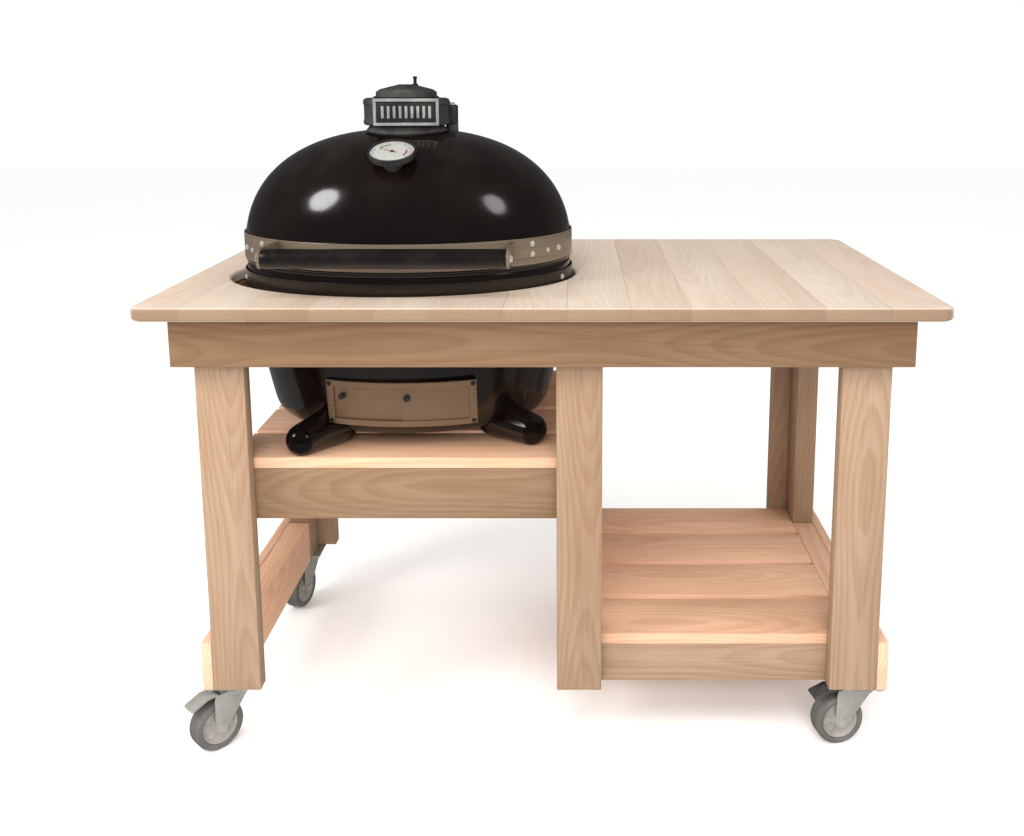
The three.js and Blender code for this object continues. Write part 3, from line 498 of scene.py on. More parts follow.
def makeFloor():
    material, tree, shader = newMaterial("studioFloor")
    mottled = speckle(tree, objectPlace(tree), 1.5, 3.0, 0.5)
    pale = blend(tree, mottled, (0.96, 0.96, 0.96), (0.98, 0.98, 0.98))
    inGloss = addNode(tree, "ShaderNodeLightPath").outputs["Is Glossy Ray"]
    shown = blend(tree, inGloss, pale, (0.16, 0.155, 0.15))  # dim in gloss, so black glaze stays black
    feed(tree, shader.inputs["Base Color"], shown)
    shader.inputs["Roughness"].default_value = 0.9
    shader.inputs["Specular IOR Level"].default_value = 0.0
    return material


steelLooks = {  # colour, roughness, stretch of the brushed lines, metallic share
    # bandSteel's brown colour is painted reflection: the brownish reflections on this steel are given as
    # diffuse colour
    "bandSteel": ((0.20, 0.155, 0.112), 0.26, (3.0, 3.0, 900.0), 0.4),
    "lowBandSteel": ((0.035, 0.026, 0.020), 0.25, (3.0, 3.0, 900.0), 0.6),
    "doorSteel": ((0.19, 0.116, 0.07), 0.30, (3.0, 3.0, 900.0), 0.4),
    "boltSteel": ((0.60, 0.59, 0.57), 0.28, (300.0, 300.0, 20.0), 0.6),
    "zincPlate": ((0.36, 0.35, 0.325), 0.36, (90.0, 60.0, 90.0), 0.3),
}
coatedLooks = {  # dark tone, light tone, roughness, scale of the grit, strength of its relief
    "silverPaint": ((0.17, 0.17, 0.17), (0.27, 0.27, 0.265), 0.4, 500.0),
    "blackPaint": ((0.010, 0.010, 0.010), (0.028, 0.027, 0.026), 0.42, 420.0),
    "darkScrew": ((0.012, 0.011, 0.010), (0.04, 0.038, 0.035), 0.38, 500.0),
    "handleBlack": ((0.0045, 0.003, 0.0028), (0.010, 0.0075, 0.007), 0.3, 520.0, 0.12),
    "rubber": ((0.095, 0.092, 0.085), (0.14, 0.135, 0.125), 0.68, 260.0, 0.5),
    "rimPlastic": ((0.27, 0.255, 0.225), (0.34, 0.32, 0.285), 0.5, 300.0),
    "pedalDark": ((0.045, 0.044, 0.042), (0.09, 0.088, 0.085), 0.45, 300.0),
    "dialWhite": ((0.66, 0.65, 0.62), (0.78, 0.77, 0.74), 0.4, 240.0, 0.05),
    "dialInk": ((0.012, 0.012, 0.014), (0.03, 0.03, 0.03), 0.45, 240.0, 0.05),
    "dialRed": ((0.38, 0.03, 0.02), (0.5, 0.06, 0.04), 0.4, 240.0, 0.05),
    "dialGreen": ((0.05, 0.19, 0.07), (0.08, 0.26, 0.1), 0.45, 240.0, 0.05),
}
ironLooks = {  # dark tone, light tone, roughness, metallic share
    "grateIron": ((0.02, 0.019, 0.018), (0.06, 0.056, 0.052), 0.6, 0.5),
    "capIron": ((0.035, 0.034, 0.033), (0.075, 0.073, 0.07), 0.5, 0.35),
}
finish = {}
for makeLook, looks in ((makeIron, ironLooks), (makeSteel, steelLooks), (makeCoated, coatedLooks)):
    for name, look in looks.items():
        finish[name] = makeLook(name, *look)
finish.update({name: makeWood(name, look) for name, look in woodLooks.items()})
finish.update({"glaze": makeGlaze(), "fireClay": makeFireClay(), "felt": makeFelt(), "glass": makeGlass()})
print("materials ready:", len(finish))


# ---- mesh helpers
def linkMesh(name, mesh):
    made = bpy.data.objects.new(name, mesh)
    bpy.context.scene.collection.objects.link(made)
    return made


def meshFrom(name, bm):
    mesh = bpy.data.meshes.new(name)
    bm.to_mesh(mesh)
    bm.free()
    return mesh


def settle(name, mesh, materials, body, replaced=(), smoothAngle=35):
    if not mesh.materials:
        for material in materials:
            mesh.materials.append(material)
    mesh.polygons.foreach_set("use_smooth", [True] * len(mesh.polygons))
    mesh.set_sharp_from_angle(angle=math.radians(smoothAngle))
    made = linkMesh(name, mesh)
    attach(made, body)
    if replaced:
        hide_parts(*replaced)
    return made


def placed(name, bm, look, body, replaced=(), smoothAngle=35):
    settle(name, meshFrom(name, bm), [finish[look]], body, replaced, smoothAngle)


def boxOf(bm, low, high, edge=0.0):
    made = bmesh.ops.create_cube(bm, size=1.0)["verts"]
    low, high = Vector(low), Vector(high)
    size = high - low
    for v in made:
        v.co = Vector(((v.co[i] + 0.5) * size[i] + low[i] for i in range(3)))
    if edge:
        edges = list({e for v in made for e in v.link_edges})
        bmesh.ops.bevel(bm, geom=edges, offset=edge, segments=2, profile=0.5, affect="EDGES")


def turned(bm, profile, sides, ratio=1.0, centre=(0, 0, 0), material=0, matrix=None, shut=True):
    # a closed profile of (radius, height) turned about the upright axis; points on the axis make a pole
    rings = []
    for radius, height in profile:
        if radius < 1e-7:
            rings.append([bm.verts.new((0, 0, height))])
            continue
        ring = []
        for i in range(sides):
            a = 2 * math.pi * i / sides
            ring.append(bm.verts.new((radius * math.cos(a), radius * ratio * math.sin(a), height)))
        rings.append(ring)
    faces = []
    pairs = list(zip(rings, rings[1:]))
    if shut and len(rings[0]) > 1 and len(rings[-1]) > 1:
        pairs.append((rings[-1], rings[0]))
    for a, b in pairs:
        for i in range(sides):
            j = (i + 1) % sides
            corners = [a[i % len(a)], a[j % len(a)], b[j % len(b)], b[i % len(b)]]
            unique = list(dict.fromkeys(corners))
            if len(unique) > 2:
                faces.append(bm.faces.new(unique))
    for f in faces:
        f.material_index = material
    move = Matrix.Translation(Vector(centre)) if matrix is None else matrix
    for ring in rings:
        for v in ring:
            v.co = move @ v.co
    bmesh.ops.recalc_face_normals(bm, faces=faces)


def cutBy(mesh, cutters):
    # the mesh with each cutter mesh taken away from it
    target = linkMesh("cutTarget", mesh)
    tools = [linkMesh("cutter", cutter) for cutter in cutters]
    for tool in tools:
        modifier = target.modifiers.new("cut", "BOOLEAN")
        modifier.operation = "DIFFERENCE"
        modifier.object = tool
        modifier.solver = "EXACT"
    graph = bpy.context.evaluated_depsgraph_get()
    made = bpy.data.meshes.new_from_object(target.evaluated_get(graph), depsgraph=graph)
    for thing in [target, *tools]:
        bpy.data.objects.remove(thing)
    return made


def refined(name, node, edge, metal, body, angle=40):
    # a CAD node's own shape with its doubles merged, flat faces joined and edges rounded
    bm = bmesh.new()
    bm.from_mesh(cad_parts[node].data)
    bmesh.ops.remove_doubles(bm, verts=bm.verts, dist=1e-5)
    bmesh.ops.dissolve_limit(
        bm, angle_limit=math.radians(1), verts=bm.verts, edges=bm.edges, use_dissolve_boundaries=False
    )
    sharp = [e for e in bm.edges if len(e.link_faces) == 2 and e.calc_face_angle(0) > math.radians(angle)]
    bmesh.ops.bevel(
        bm, geom=sharp, offset=edge, segments=2, profile=0.5, affect="EDGES", clamp_overlap=True
    )
    bmesh.ops.triangulate(bm, faces=[f for f in bm.faces if len(f.verts) > 4])
    mesh = meshFrom(name, bm)
    settle(name, mesh, [finish[metal]], body, [node])


# ---- geometry node trees for what repeats
def newShape(name, inputs):
    tree = bpy.data.node_groups.new(name, "GeometryNodeTree")
    tree.interface.new_socket("Geometry", in_out="INPUT", socket_type="NodeSocketGeometry")
    for label, kind, value in inputs:
        socket = tree.interface.new_socket(label, in_out="INPUT", socket_type="NodeSocket" + kind)
        if value is not None:
            socket.default_value = value
    tree.interface.new_socket("Geometry", in_out="OUTPUT", socket_type="NodeSocketGeometry")
    return tree, addNode(tree, "NodeGroupInput").outputs, addNode(tree, "NodeGroupOutput").inputs


def endShape(tree, out, instances, material):
    real = addNode(tree, "GeometryNodeRealizeInstances")
    feed(tree, real.inputs["Geometry"], instances)
    paint = addNode(tree, "GeometryNodeSetMaterial")
    feed(tree, paint.inputs["Geometry"], real.outputs["Geometry"])
    feed(tree, paint.inputs["Material"], material)
    feed(tree, out["Geometry"], paint.outputs["Geometry"])


def combine(tree, x, y, z):
    made = addNode(tree, "ShaderNodeCombineXYZ")
    for socket, value in zip(made.inputs, (x, y, z)):
        feed(tree, socket, value)
    return made.outputs[0]


def wired(tree, kind, sources, **settings):
    # a new node with its inputs fed, given back as its outputs
    made = addNode(tree, kind, **settings)
    for key, source in sources.items():
        feed(tree, made.inputs[key], source)
    return made.outputs


def upBy(tree, height, share):
    return combine(tree, 0.0, 0.0, times(tree, height, share))


def moved(tree, geometry, **sources):
    return wired(tree, "GeometryNodeTransform", {"Geometry": geometry, **sources})[0]


def makeSlatRow():
    tree, given, out = newShape("slatRow", [
        ("Slats", "Int", 4), ("First Middle", "Vector", None), ("Pitch", "Float", 0.1565),
        ("Long", "Float", 0.57), ("Wide", "Float", 0.14), ("Thick", "Float", 0.0215),
        ("End Play", "Float", 0.0008), ("Seed", "Int", 3), ("Wood", "Material", None),
    ])
    row = wired(tree, "GeometryNodeMeshLine", {
        "Count": given["Slats"], "Start Location": given["First Middle"],
        "Offset": combine(tree, 0.0, given["Pitch"], 0.0),
    }, mode="OFFSET")
    size = combine(tree, given["Long"], given["Wide"], given["Thick"])
    plank = wired(tree, "GeometryNodeMeshCube", {"Size": size})
    shortest = minus(tree, 1.0, given["End Play"])
    chance = wired(tree, "FunctionNodeRandomValue", {
        "Seed": given["Seed"], 2: shortest, 3: 1.0,
    }, data_type="FLOAT")
    lay = wired(tree, "GeometryNodeInstanceOnPoints", {
        "Points": row["Mesh"], "Instance": plank["Mesh"], "Scale": combine(tree, chance[1], 1.0, 1.0),
    })
    endShape(tree, out, lay["Instances"], given["Wood"])
    return tree


def makeFixings():
    # bolt or screw heads on the points of a mesh, each facing along the point's "facing"
    tree, given, out = newShape("fixings", [
        ("Radius", "Float", 0.005), ("Height", "Float", 0.003), ("Sides", "Int", 6),
        ("Crown", "Float", 0.001), ("Washer", "Float", 1.3), ("Seed", "Int", 5), ("Metal", "Material", None),
    ])
    height = given["Height"]
    head = wired(tree, "GeometryNodeMeshCylinder", {
        "Vertices": given["Sides"], "Radius": given["Radius"], "Depth": height,
    })["Mesh"]
    ball = wired(tree, "GeometryNodeMeshUVSphere", {"Segments": 14, "Rings": 6, "Radius": 1.0})["Mesh"]
    wide = times(tree, given["Radius"], 0.84)
    domed = combine(tree, wide, wide, given["Crown"])
    crown = moved(tree, ball, Translation=upBy(tree, height, 0.5), Scale=domed)
    ring = wired(tree, "GeometryNodeMeshCylinder", {
        "Vertices": 20, "Radius": times(tree, given["Radius"], given["Washer"]),
        "Depth": times(tree, height, 0.3),
    })["Mesh"]
    washer = moved(tree, ring, Translation=upBy(tree, height, -0.38))
    parts = addNode(tree, "GeometryNodeJoinGeometry")
    for source in (head, crown, washer):
        tree.links.new(source, parts.inputs[0])
    raised = moved(tree, parts.outputs[0], Translation=upBy(tree, height, 0.5))
    facing = wired(tree, "GeometryNodeInputNamedAttribute", {"Name": "facing"}, data_type="FLOAT_VECTOR")
    aim = wired(tree, "FunctionNodeAlignRotationToVector", {"Vector": facing["Attribute"]}, axis="Z")
    spin = wired(tree, "FunctionNodeRandomValue", {"Seed": given["Seed"], 3: math.pi}, data_type="FLOAT")
    turnBy = wired(tree, "FunctionNodeEulerToRotation", {0: combine(tree, 0.0, 0.0, spin[1])})
    local = wired(tree, "FunctionNodeRotateRotation", {
        "Rotation": aim["Rotation"], "Rotate By": turnBy[0],
    }, rotation_space="LOCAL")
    lay = wired(tree, "GeometryNodeInstanceOnPoints", {
        "Points": given["Geometry"], "Instance": raised, "Rotation": local["Rotation"],
    })
    endShape(tree, out, lay["Instances"], given["Metal"])
    return tree


def makeGrateBars():
    # bars across an oval, each as long as the oval is deep where it lies
    tree, given, out = newShape("grateBars", [
        ("Bars", "Int", 13), ("Middle", "Vector", None), ("First Offset", "Float", 0.007),
        ("Pitch", "Float", 0.0215), ("Oval Half", "Float", 0.28), ("Ratio", "Float", 0.724),
        ("Rod", "Float", 0.0027), ("Iron", "Material", None),
    ])
    row = wired(tree, "GeometryNodeMeshLine", {
        "Count": given["Bars"], "Start Location": combine(tree, given["First Offset"], 0.0, 0.0),
        "Offset": combine(tree, given["Pitch"], 0.0, 0.0),
    }, mode="OFFSET")
    place = wired(tree, "ShaderNodeSeparateXYZ", {0: addNode(tree, "GeometryNodeInputPosition").outputs[0]})
    share = sums(tree, "DIVIDE", place[0], given["Oval Half"])
    left = sums(tree, "MAXIMUM", minus(tree, 1.0, times(tree, share, share)), 0.0)
    reach = times(tree, times(tree, given["Oval Half"], given["Ratio"]), sums(tree, "SQRT", left))
    rod = wired(tree, "GeometryNodeMeshCylinder", {"Vertices": 12, "Radius": 1.0, "Depth": 2.0})["Mesh"]
    lying = moved(tree, rod, Rotation=(math.pi / 2, 0, 0))
    lay = wired(tree, "GeometryNodeInstanceOnPoints", {
        "Points": row["Mesh"], "Instance": lying, "Scale": combine(tree, given["Rod"], reach, given["Rod"]),
    })
    endShape(tree, out, moved(tree, lay["Instances"], Translation=given["Middle"]), given["Iron"])
    return tree


def makeRadialMarks():
    # marks round part of a circle, such as a scale's ticks or a wheel's ribs
    tree, given, out = newShape("radialMarks", [
        ("Marks", "Int", 25), ("Circle", "Float", 0.03), ("Start", "Float", -2.4), ("Sweep", "Float", 4.8),
        ("Long", "Float", 0.005), ("Wide", "Float", 0.0007), ("Thick", "Float", 0.0002),
        ("Ink", "Material", None),
    ])
    row = wired(tree, "GeometryNodeMeshLine", {"Count": given["Marks"], "Offset": (0, 0, 0)}, mode="OFFSET")
    step = sums(tree, "DIVIDE", given["Sweep"], minus(tree, given["Marks"], 1.0))
    angle = plus(tree, given["Start"], times(tree, addNode(tree, "GeometryNodeInputIndex").outputs[0], step))
    x, y = (times(tree, sums(tree, way, angle), given["Circle"]) for way in ("COSINE", "SINE"))
    spot = combine(tree, x, y, 0.0)
    spread = wired(tree, "GeometryNodeSetPosition", {"Geometry": row["Mesh"], "Position": spot})
    size = combine(tree, given["Long"], given["Wide"], given["Thick"])
    mark = wired(tree, "GeometryNodeMeshCube", {"Size": size})
    turnTo = wired(tree, "FunctionNodeEulerToRotation", {0: combine(tree, 0.0, 0.0, angle)})
    lay = wired(tree, "GeometryNodeInstanceOnPoints", {
        "Points": spread["Geometry"], "Instance": mark["Mesh"], "Rotation": turnTo[0],
    })
    endShape(tree, out, lay["Instances"], given["Ink"])
    return tree


shapes = {
    "slats": makeSlatRow(),
    "fixings": makeFixings(),
    "bars": makeGrateBars(),
    "marks": makeRadialMarks(),
}


def grown(shape, values, carrier=None):
    seed = linkMesh("seed", carrier or bpy.data.meshes.new("seed"))
    modifier = seed.modifiers.new("shape", "NODES")
    modifier.node_group = shapes[shape]
    for item in shapes[shape].interface.items_tree:
        if item.in_out == "INPUT" and item.name in values:
            modifier[item.identifier] = values[item.name]
    graph = bpy.context.evaluated_depsgraph_get()
    made = bpy.data.meshes.new_from_object(
        seed.evaluated_get(graph), preserve_all_data_layers=True, depsgraph=graph
    )
    bpy.data.objects.remove(seed)
    # an empty first slot would leave faces that are added later without a material
    finishes = [material for material in made.materials if material]
    made.materials.clear()
    for material in finishes:
        made.materials.append(material)
    made.polygons.foreach_set("material_index", [0] * len(made.polygons))
    return made


boltKinds = {  # radius, height, sides, height of the crown, washer as a share of the head
    "shelfScrew": (0.0042, 0.0012, 16, 0.0009, 1.0),
    "draftScrew": (0.0042, 0.0016, 16, 0.0014, 1.15),
    "roofBolt": (0.0042, 0.0034, 6, 0.0008, 1.35),
    "pivotBolt": (0.0065, 0.005, 6, 0.001, 1.35),
    "handleBolt": (0.0065, 0.0045, 6, 0.001, 1.5),
    "bandRivet": (0.0052, 0.003, 16, 0.0016, 1.3),
    "bracketBolt": (0.0046, 0.0028, 6, 0.0008, 1.3),
    "lowBandRivet": (0.0046, 0.0028, 16, 0.0014, 1.3),
    "hingeLowerBolt": (0.0055, 0.0036, 6, 0.0008, 1.35),
    "hingeUpperBolt": (0.0048, 0.0034, 6, 0.0008, 1.35),
    "axleNut": (0.0088, 0.0062, 6, 0.0012, 1.3),
    "plateBolt": (0.0062, 0.0042, 6, 0.001, 1.35),
}


def addFixings(name, spots, kind, body, metal, seed):
    radius, height, sides, crown, washer = boltKinds[kind]
    carrier = bpy.data.meshes.new(name + "Points")
    carrier.from_pydata([tuple(place) for place, _ in spots], [], [])
    facing = carrier.attributes.new("facing", "FLOAT_VECTOR", "POINT")
    facing.data.foreach_set("vector", [c for _, direction in spots for c in Vector(direction).normalized()])
    mesh = grown("fixings", {
        "Radius": radius, "Height": height, "Sides": sides, "Crown": crown,
        "Washer": washer, "Seed": seed, "Metal": finish[metal],
    }, carrier)
    settle(name, mesh, [finish[metal]], body)


# ---- wood: every separate board gets its own tone, and grain along its length
def islands(mesh):
    bm = bmesh.new()
    bm.from_mesh(mesh)
    seen, found = set(), []
    for start in bm.verts:
        if start.index in seen:
            continue
        stack, group = [start], []
        seen.add(start.index)
        while stack:
            v = stack.pop()
            group.append(v.index)
            for e in v.link_edges:
                other = e.other_vert(v)
                if other.index not in seen:
                    seen.add(other.index)
                    stack.append(other)
        found.append(group)
    bm.free()
    return found


def layGrain(mesh, seed, tones=None):
    pick = random.Random(seed)
    grainData = [0.0] * (3 * len(mesh.vertices))
    toneData = [0.0] * len(mesh.vertices)
    for number, group in enumerate(islands(mesh)):
        places = [mesh.vertices[i].co for i in group]
        sizes = [max(p[k] for p in places) - min(p[k] for p in places) for k in range(3)]
        order = sorted(range(3), key=lambda k: -sizes[k])
        middle = [0.5 * (max(p[k] for p in places) + min(p[k] for p in places)) for k in range(3)]
        tone = tones[number % len(tones)] if tones else pick.random()
        start = pick.uniform(-20, 20)
        aside = pick.uniform(-0.35, 0.35) * sizes[order[1]]
        under = pick.uniform(0.02, 0.05)
        for i, p in zip(group, places):
            grainData[3 * i] = p[order[0]] + start
            grainData[3 * i + 1] = p[order[1]] - middle[order[1]] + aside
            grainData[3 * i + 2] = p[order[2]] - middle[order[2]] + under
            toneData[i] = tone
    mesh.attributes.new("grain", "FLOAT_VECTOR", "POINT").data.foreach_set("vector", grainData)
    mesh.attributes.new("tone", "FLOAT", "POINT").data.foreach_set("value", toneData)


def boardPiece(name, boxes, wood, seed, replaced=(), edge=0.0022, tones=None):
    bm = bmesh.new()
    for low, high in boxes:
        boxOf(bm, low, high, edge)
    mesh = meshFrom(name, bm)
    layGrain(mesh, seed, tones)
    return settle(name, mesh, [finish[wood]], "frame", replaced)


counter = {
    "round": 0.007,
    "corner": 0.030,
    "seam": 0.00016,
    "seamEdge": 0.0004,
    "holeSides": 200,
    "joints": [-0.639, -0.525, -0.411, -0.297, -0.183, -0.069, 0.0445, 0.1584, 0.264, 0.386, 0.503, 0.62],
    "tones": [0.55, 0.1, 0.72, 0.3, 0.0, 0.6, 0.2, 0.05, 0.65, 0.25, 0.5, 0.12, 0.4],
    "opening": {"x": -0.298, "y": -0.053, "halfWidth": 0.357, "halfDepth": 0.258},
}


def counterOutline(low, high):
    r = counter["corner"] - counter["round"]
    x, y = (high.x - low.x) / 2 - counter["corner"], (high.y - low.y) / 2 - counter["corner"]
    points = []
    for i, (cx, cy) in enumerate([(x, y), (-x, y), (-x, -y), (x, -y)]):
        for k in range(11):
            a = math.pi / 2 * (i + k / 10)
            points.append((cx + r * math.cos(a), cy + r * math.sin(a)))
    return points


def counterHole():
    hole = counter["opening"]
    wide, deep = hole["halfWidth"] + counter["round"], hole["halfDepth"] + counter["round"]
    angles = [-2 * math.pi * i / counter["holeSides"] for i in range(counter["holeSides"])]
    return [(hole["x"] + wide * math.cos(a), hole["y"] + deep * math.sin(a)) for a in angles]


def counterSlab(low, high):
    curve = bpy.data.curves.new("counterSlab", "CURVE")
    curve.dimensions = "2D"
    curve.fill_mode = "BOTH"
    curve.extrude = (high.z - low.z) / 2 - counter["round"]
    curve.bevel_depth = counter["round"]
    curve.bevel_resolution = 4
    for points in (counterOutline(low, high), counterHole()):
        spline = curve.splines.new("POLY")
        spline.points.add(len(points) - 1)
        for point, (px, py) in zip(spline.points, points):
            point.co = (px, py, 0, 1)
        spline.use_cyclic_u = True
    holder = bpy.data.objects.new("counterSlab", curve)
    bpy.context.scene.collection.objects.link(holder)
    graph = bpy.context.evaluated_depsgraph_get()
    slab = bpy.data.meshes.new_from_object(holder.evaluated_get(graph), depsgraph=graph)
    bpy.data.objects.remove(holder)
    slab.transform(Matrix.Translation((0, 0, (high.z + low.z) / 2)))
    return slab


def sliceBoard(slab, x0, x1):
    bm = bmesh.new()
    bm.from_mesh(slab)
    bmesh.ops.remove_doubles(bm, verts=bm.verts, dist=1e-6)
    for x, direction in ((x0, -1), (x1, 1)):
        if x is None:
            continue
        geometry = bm.verts[:] + bm.edges[:] + bm.faces[:]
        cut = bmesh.ops.bisect_plane(
            bm, geom=geometry, plane_co=(x, 0, 0), plane_no=(direction, 0, 0), clear_outer=True
        )["geom_cut"]
        edges = [e for e in cut if isinstance(e, bmesh.types.BMEdge)]
        faces = bmesh.ops.holes_fill(bm, edges=edges, sides=0)["faces"]
        rim = [e for f in faces for e in f.edges]
        edge = counter["seamEdge"]
        bmesh.ops.bevel(bm, geom=list(set(rim)), offset=edge, segments=2, profile=0.5, affect="EDGES")
    bmesh.ops.recalc_face_normals(bm, faces=bm.faces)
    return bm


def buildCounter():
    low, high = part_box("table_top")
    slab = counterSlab(low, high)
    seam = counter["seam"]
    starts = [None] + [x + seam for x in counter["joints"]]
    ends = [x - seam for x in counter["joints"]] + [None]
    whole = bmesh.new()
    sizes = []
    for x0, x1 in zip(starts, ends):
        bm = sliceBoard(slab, x0, x1)
        part = meshFrom("part", bm)
        sizes.append(len(part.vertices))
        whole.from_mesh(part)
        bpy.data.meshes.remove(part)
    mesh = meshFrom("counterBoards", whole)
    layGrain(mesh, 11)
    tone = mesh.attributes["tone"].data
    first = 0
    for count, value in zip(sizes, counter["tones"]):
        for i in range(first, first + count):
            tone[i].value = value
        first += count
    settle("counterBoards", mesh, [finish["counterWood"]], "frame", ["table_top"], 40)
    print("counter:", len(sizes), "boards")


buildCounter()

table = {
    "board": 0.034,
    "post": 0.0495,
    "slatWide": 0.140,
    "slatThick": 0.0215,
    "slatFirst": -0.3047,
    "slatPitch": 0.156467,
    "slatEdge": 0.0012,
    "bearerReach": 0.2704,
    "boardGap": 0.0004,
    "railThick": 0.0205,
    "fillerReach": 0.2157,
}


def legBoards(node):
    # the face board and the post behind it
    low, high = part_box(node)
    front = low.y < 0
    faceLow, faceHigh = Vector(low), Vector(high)
    postLow, postHigh = Vector(low), Vector(high)
    if front:
        faceHigh.y = low.y + table["board"] - 0.0006
        postLow.y = low.y + table["board"] - 0.0002
    else:
        faceLow.y = high.y - table["board"] + 0.0006
        postHigh.y = high.y - table["board"] + 0.0002
    if low.x < 0:
        postHigh.x = low.x + table["post"]
    else:
        postLow.x = high.x - table["post"]
    return [(faceLow, faceHigh), (postLow, postHigh)]


def railBoards(node):
    # the outer board and the filler between the posts
    low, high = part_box(node)
    thick, gap = table["railThick"], table["boardGap"]
    outerLow, outerHigh = Vector(low), Vector(high)
    fillLow, fillHigh = Vector(low), Vector(high)
    if low.x < 0:
        outerHigh.x = low.x + thick
        fillLow.x = low.x + thick + gap
    else:
        outerLow.x = high.x - thick
        fillHigh.x = high.x - thick - gap
    fillLow.y, fillHigh.y = -table["fillerReach"], table["fillerReach"]
    return [(outerLow, outerHigh), (fillLow, fillHigh)]


def buildFrame():
    for side, seed in (("front", 21), ("back", 22), ("left", 23), ("right", 24)):
        node = "apron_" + side
        # the aprons take the dark tone 0.85: partly a darker board, partly painted shade from the counter's
        # overhang above them
        boardPiece(side + "Apron", [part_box(node)], "frameWood", seed, [node], tones=[0.85])
    for number, node in enumerate(["leg_front_left", "leg_front_right", "leg_back_left", "leg_back_right"]):
        label = "".join(word.title() for word in node.split("_")[1:])
        boardPiece("cornerLeg" + label, legBoards(node), "frameWood", 31 + number, [node], tones=[0.1, 0.5])
    for number, node in enumerate(["leg_front_middle", "leg_back_middle"]):
        label = node.split("_")[1].title()
        boardPiece("middleLeg" + label, [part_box(node)], "frameWood", 41 + number, [node], tones=[0.3])
    for number, side in enumerate(["left", "right"]):
        node = "side_rail_" + side
        boardPiece(side + "SideRail", railBoards(node), "slatWood", 51 + number, [node], tones=[0.3, 0.7])
    for number, node in enumerate(["lower_shelf_front_rail", "lower_shelf_back_rail",
                                   "grill_shelf_front_rail", "grill_shelf_back_rail"]):
        words = node.split("_")
        label = words[0] + "Shelf" + words[2].title() + "Rail"
        low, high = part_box(node)
        tone = 0.1 if number < 2 else 0.72
        boardPiece(label, [(low, high)], "frameWood", 61 + number, [node], edge=0.0012, tones=[tone])


def buildShelf(name, node, x0, x1, seed, bearers):
    # a row of slats, the bearers under it and the screws that hold them together
    low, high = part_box(node)
    first, wide = table["slatFirst"], table["slatWide"]
    middle = Vector(((x0 + x1) / 2, first + wide / 2, high.z - table["slatThick"] / 2))
    mesh = grown("slats", {
        "First Middle": middle, "Pitch": table["slatPitch"], "Long": x1 - x0,
        "Wide": table["slatWide"], "Thick": table["slatThick"], "Seed": seed, "Wood": finish["slatWood"],
    })
    bm = bmesh.new()
    bm.from_mesh(mesh)
    bmesh.ops.bevel(bm, geom=bm.edges[:], offset=table["slatEdge"], segments=2, profile=0.5, affect="EDGES")
    for bx0, bx1 in bearers:
        top = high.z - table["slatThick"] - 0.0003
        reach = table["bearerReach"]
        boxOf(bm, (bx0, -reach, low.z), (bx1, reach, top), 0.0022)
    bm.to_mesh(mesh)
    bm.free()
    layGrain(mesh, seed, [0.05, 0.85, 0.35, 0.6, 0.7, 0.7])
    settle(name, mesh, [finish["slatWood"]], "frame", [node])
    spots = [
        ((0.5 * (bx0 + bx1), first + table["slatPitch"] * i + wide * s, low.z), (0, 0, -1))
        for bx0, bx1 in bearers for i in range(4) for s in (0.28, 0.72)
    ]
    addFixings(name + "Screws", spots, "shelfScrew", "frame", "boltSteel", seed)


buildFrame()
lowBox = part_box("lower_shelf_slats")
buildShelf("lowerShelf", "lower_shelf_slats", lowBox[0].x, lowBox[1].x, 71, [(0.060, 0.094), (0.505, 0.539)])
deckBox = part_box("grill_shelf_slats")
buildShelf("grillShelf", "grill_shelf_slats", deckBox[0].x + 0.0113, deckBox[1].x, 72,
           [(deckBox[0].x + 0.0113, deckBox[0].x + 0.0513), (0.065, 0.105)])
print("table frame built")

# ---- ceramic shells
shell = {
    "sides": 192,
    "springZ": 0.957,
    "rise": 0.258,
    "power": 2.4,
    "lidBottom": 0.9503,
    "bandTop": 1.010,
    "wall": 0.030,
    "crown": 0.026,
    "neck": 0.066,
    # rings of the oval: inner and outer radius, bottom and top, rounding
    "lidBand": (0.3352, 0.3382, 0.957, 1.010, 0.0013),
    "lidGasket": (0.311, 0.331, 0.9484, 0.9508, 0.0011),
    "bowlBand": (0.3364, 0.339, 0.905, 0.935, 0.0011),
    "bowlGasket": (0.310, 0.332, 0.9462, 0.9483, 0.001),
    # profiles in radius and height
    "bowlRim": [(0.3345, 0.9435), (0.3335, 0.9454), (0.3315, 0.946)],
    "bowlInside": [
        (0.306, 0.946), (0.3035, 0.9445), (0.297, 0.88), (0.286, 0.80), (0.262, 0.68), (0.245, 0.65),
        (0.0, 0.65),
    ],
    "fireboxOutside": [
        (0.214, 0.6503), (0.236, 0.6503), (0.239, 0.653), (0.256, 0.684), (0.280, 0.806), (0.2895, 0.902),
        (0.287, 0.905),
    ],
    "fireboxInside": [
        (0.269, 0.905), (0.2662, 0.902), (0.258, 0.80), (0.2465, 0.733), (0.244, 0.730), (0.224, 0.730),
        (0.2222, 0.728),
    ],
    # the draft's way through bowl and firebox: corners and rounding of the cut
    "bowlDraft": ((-0.396, -0.40, 0.664), (-0.160, -0.136, 0.724), 0.006),
    "fireboxDraft": ((-0.378, -0.40, 0.668), (-0.178, -0.136, 0.716), 0.008),
}


def lidShare(z, rise):
    part = min(1.0, max(0.0, (z - shell["springZ"]) / rise))
    return (1 - part ** shell["power"]) ** (1 / shell["power"])


def lidProfile(half, rise, fromZ, endRadius, steps):
    points = []
    start = math.asin((fromZ - shell["springZ"]) / rise)
    for i in range(steps + 1):
        t = start + (math.pi / 2 - start) * i / steps
        z = shell["springZ"] + rise * math.sin(t)
        radius = half * lidShare(z, rise)
        if radius < endRadius:
            break
        points.append((radius, z))
    return points


def ovalPiece(name, profile, material, body, replaced, smoothAngle=35):
    bm = bmesh.new()
    turned(bm, profile, shell["sides"], grill["ratio"], (grill["x"], grill["y"], 0))
    mesh = meshFrom(name, bm)
    settle(name, mesh, [finish[material]], body, replaced, smoothAngle)


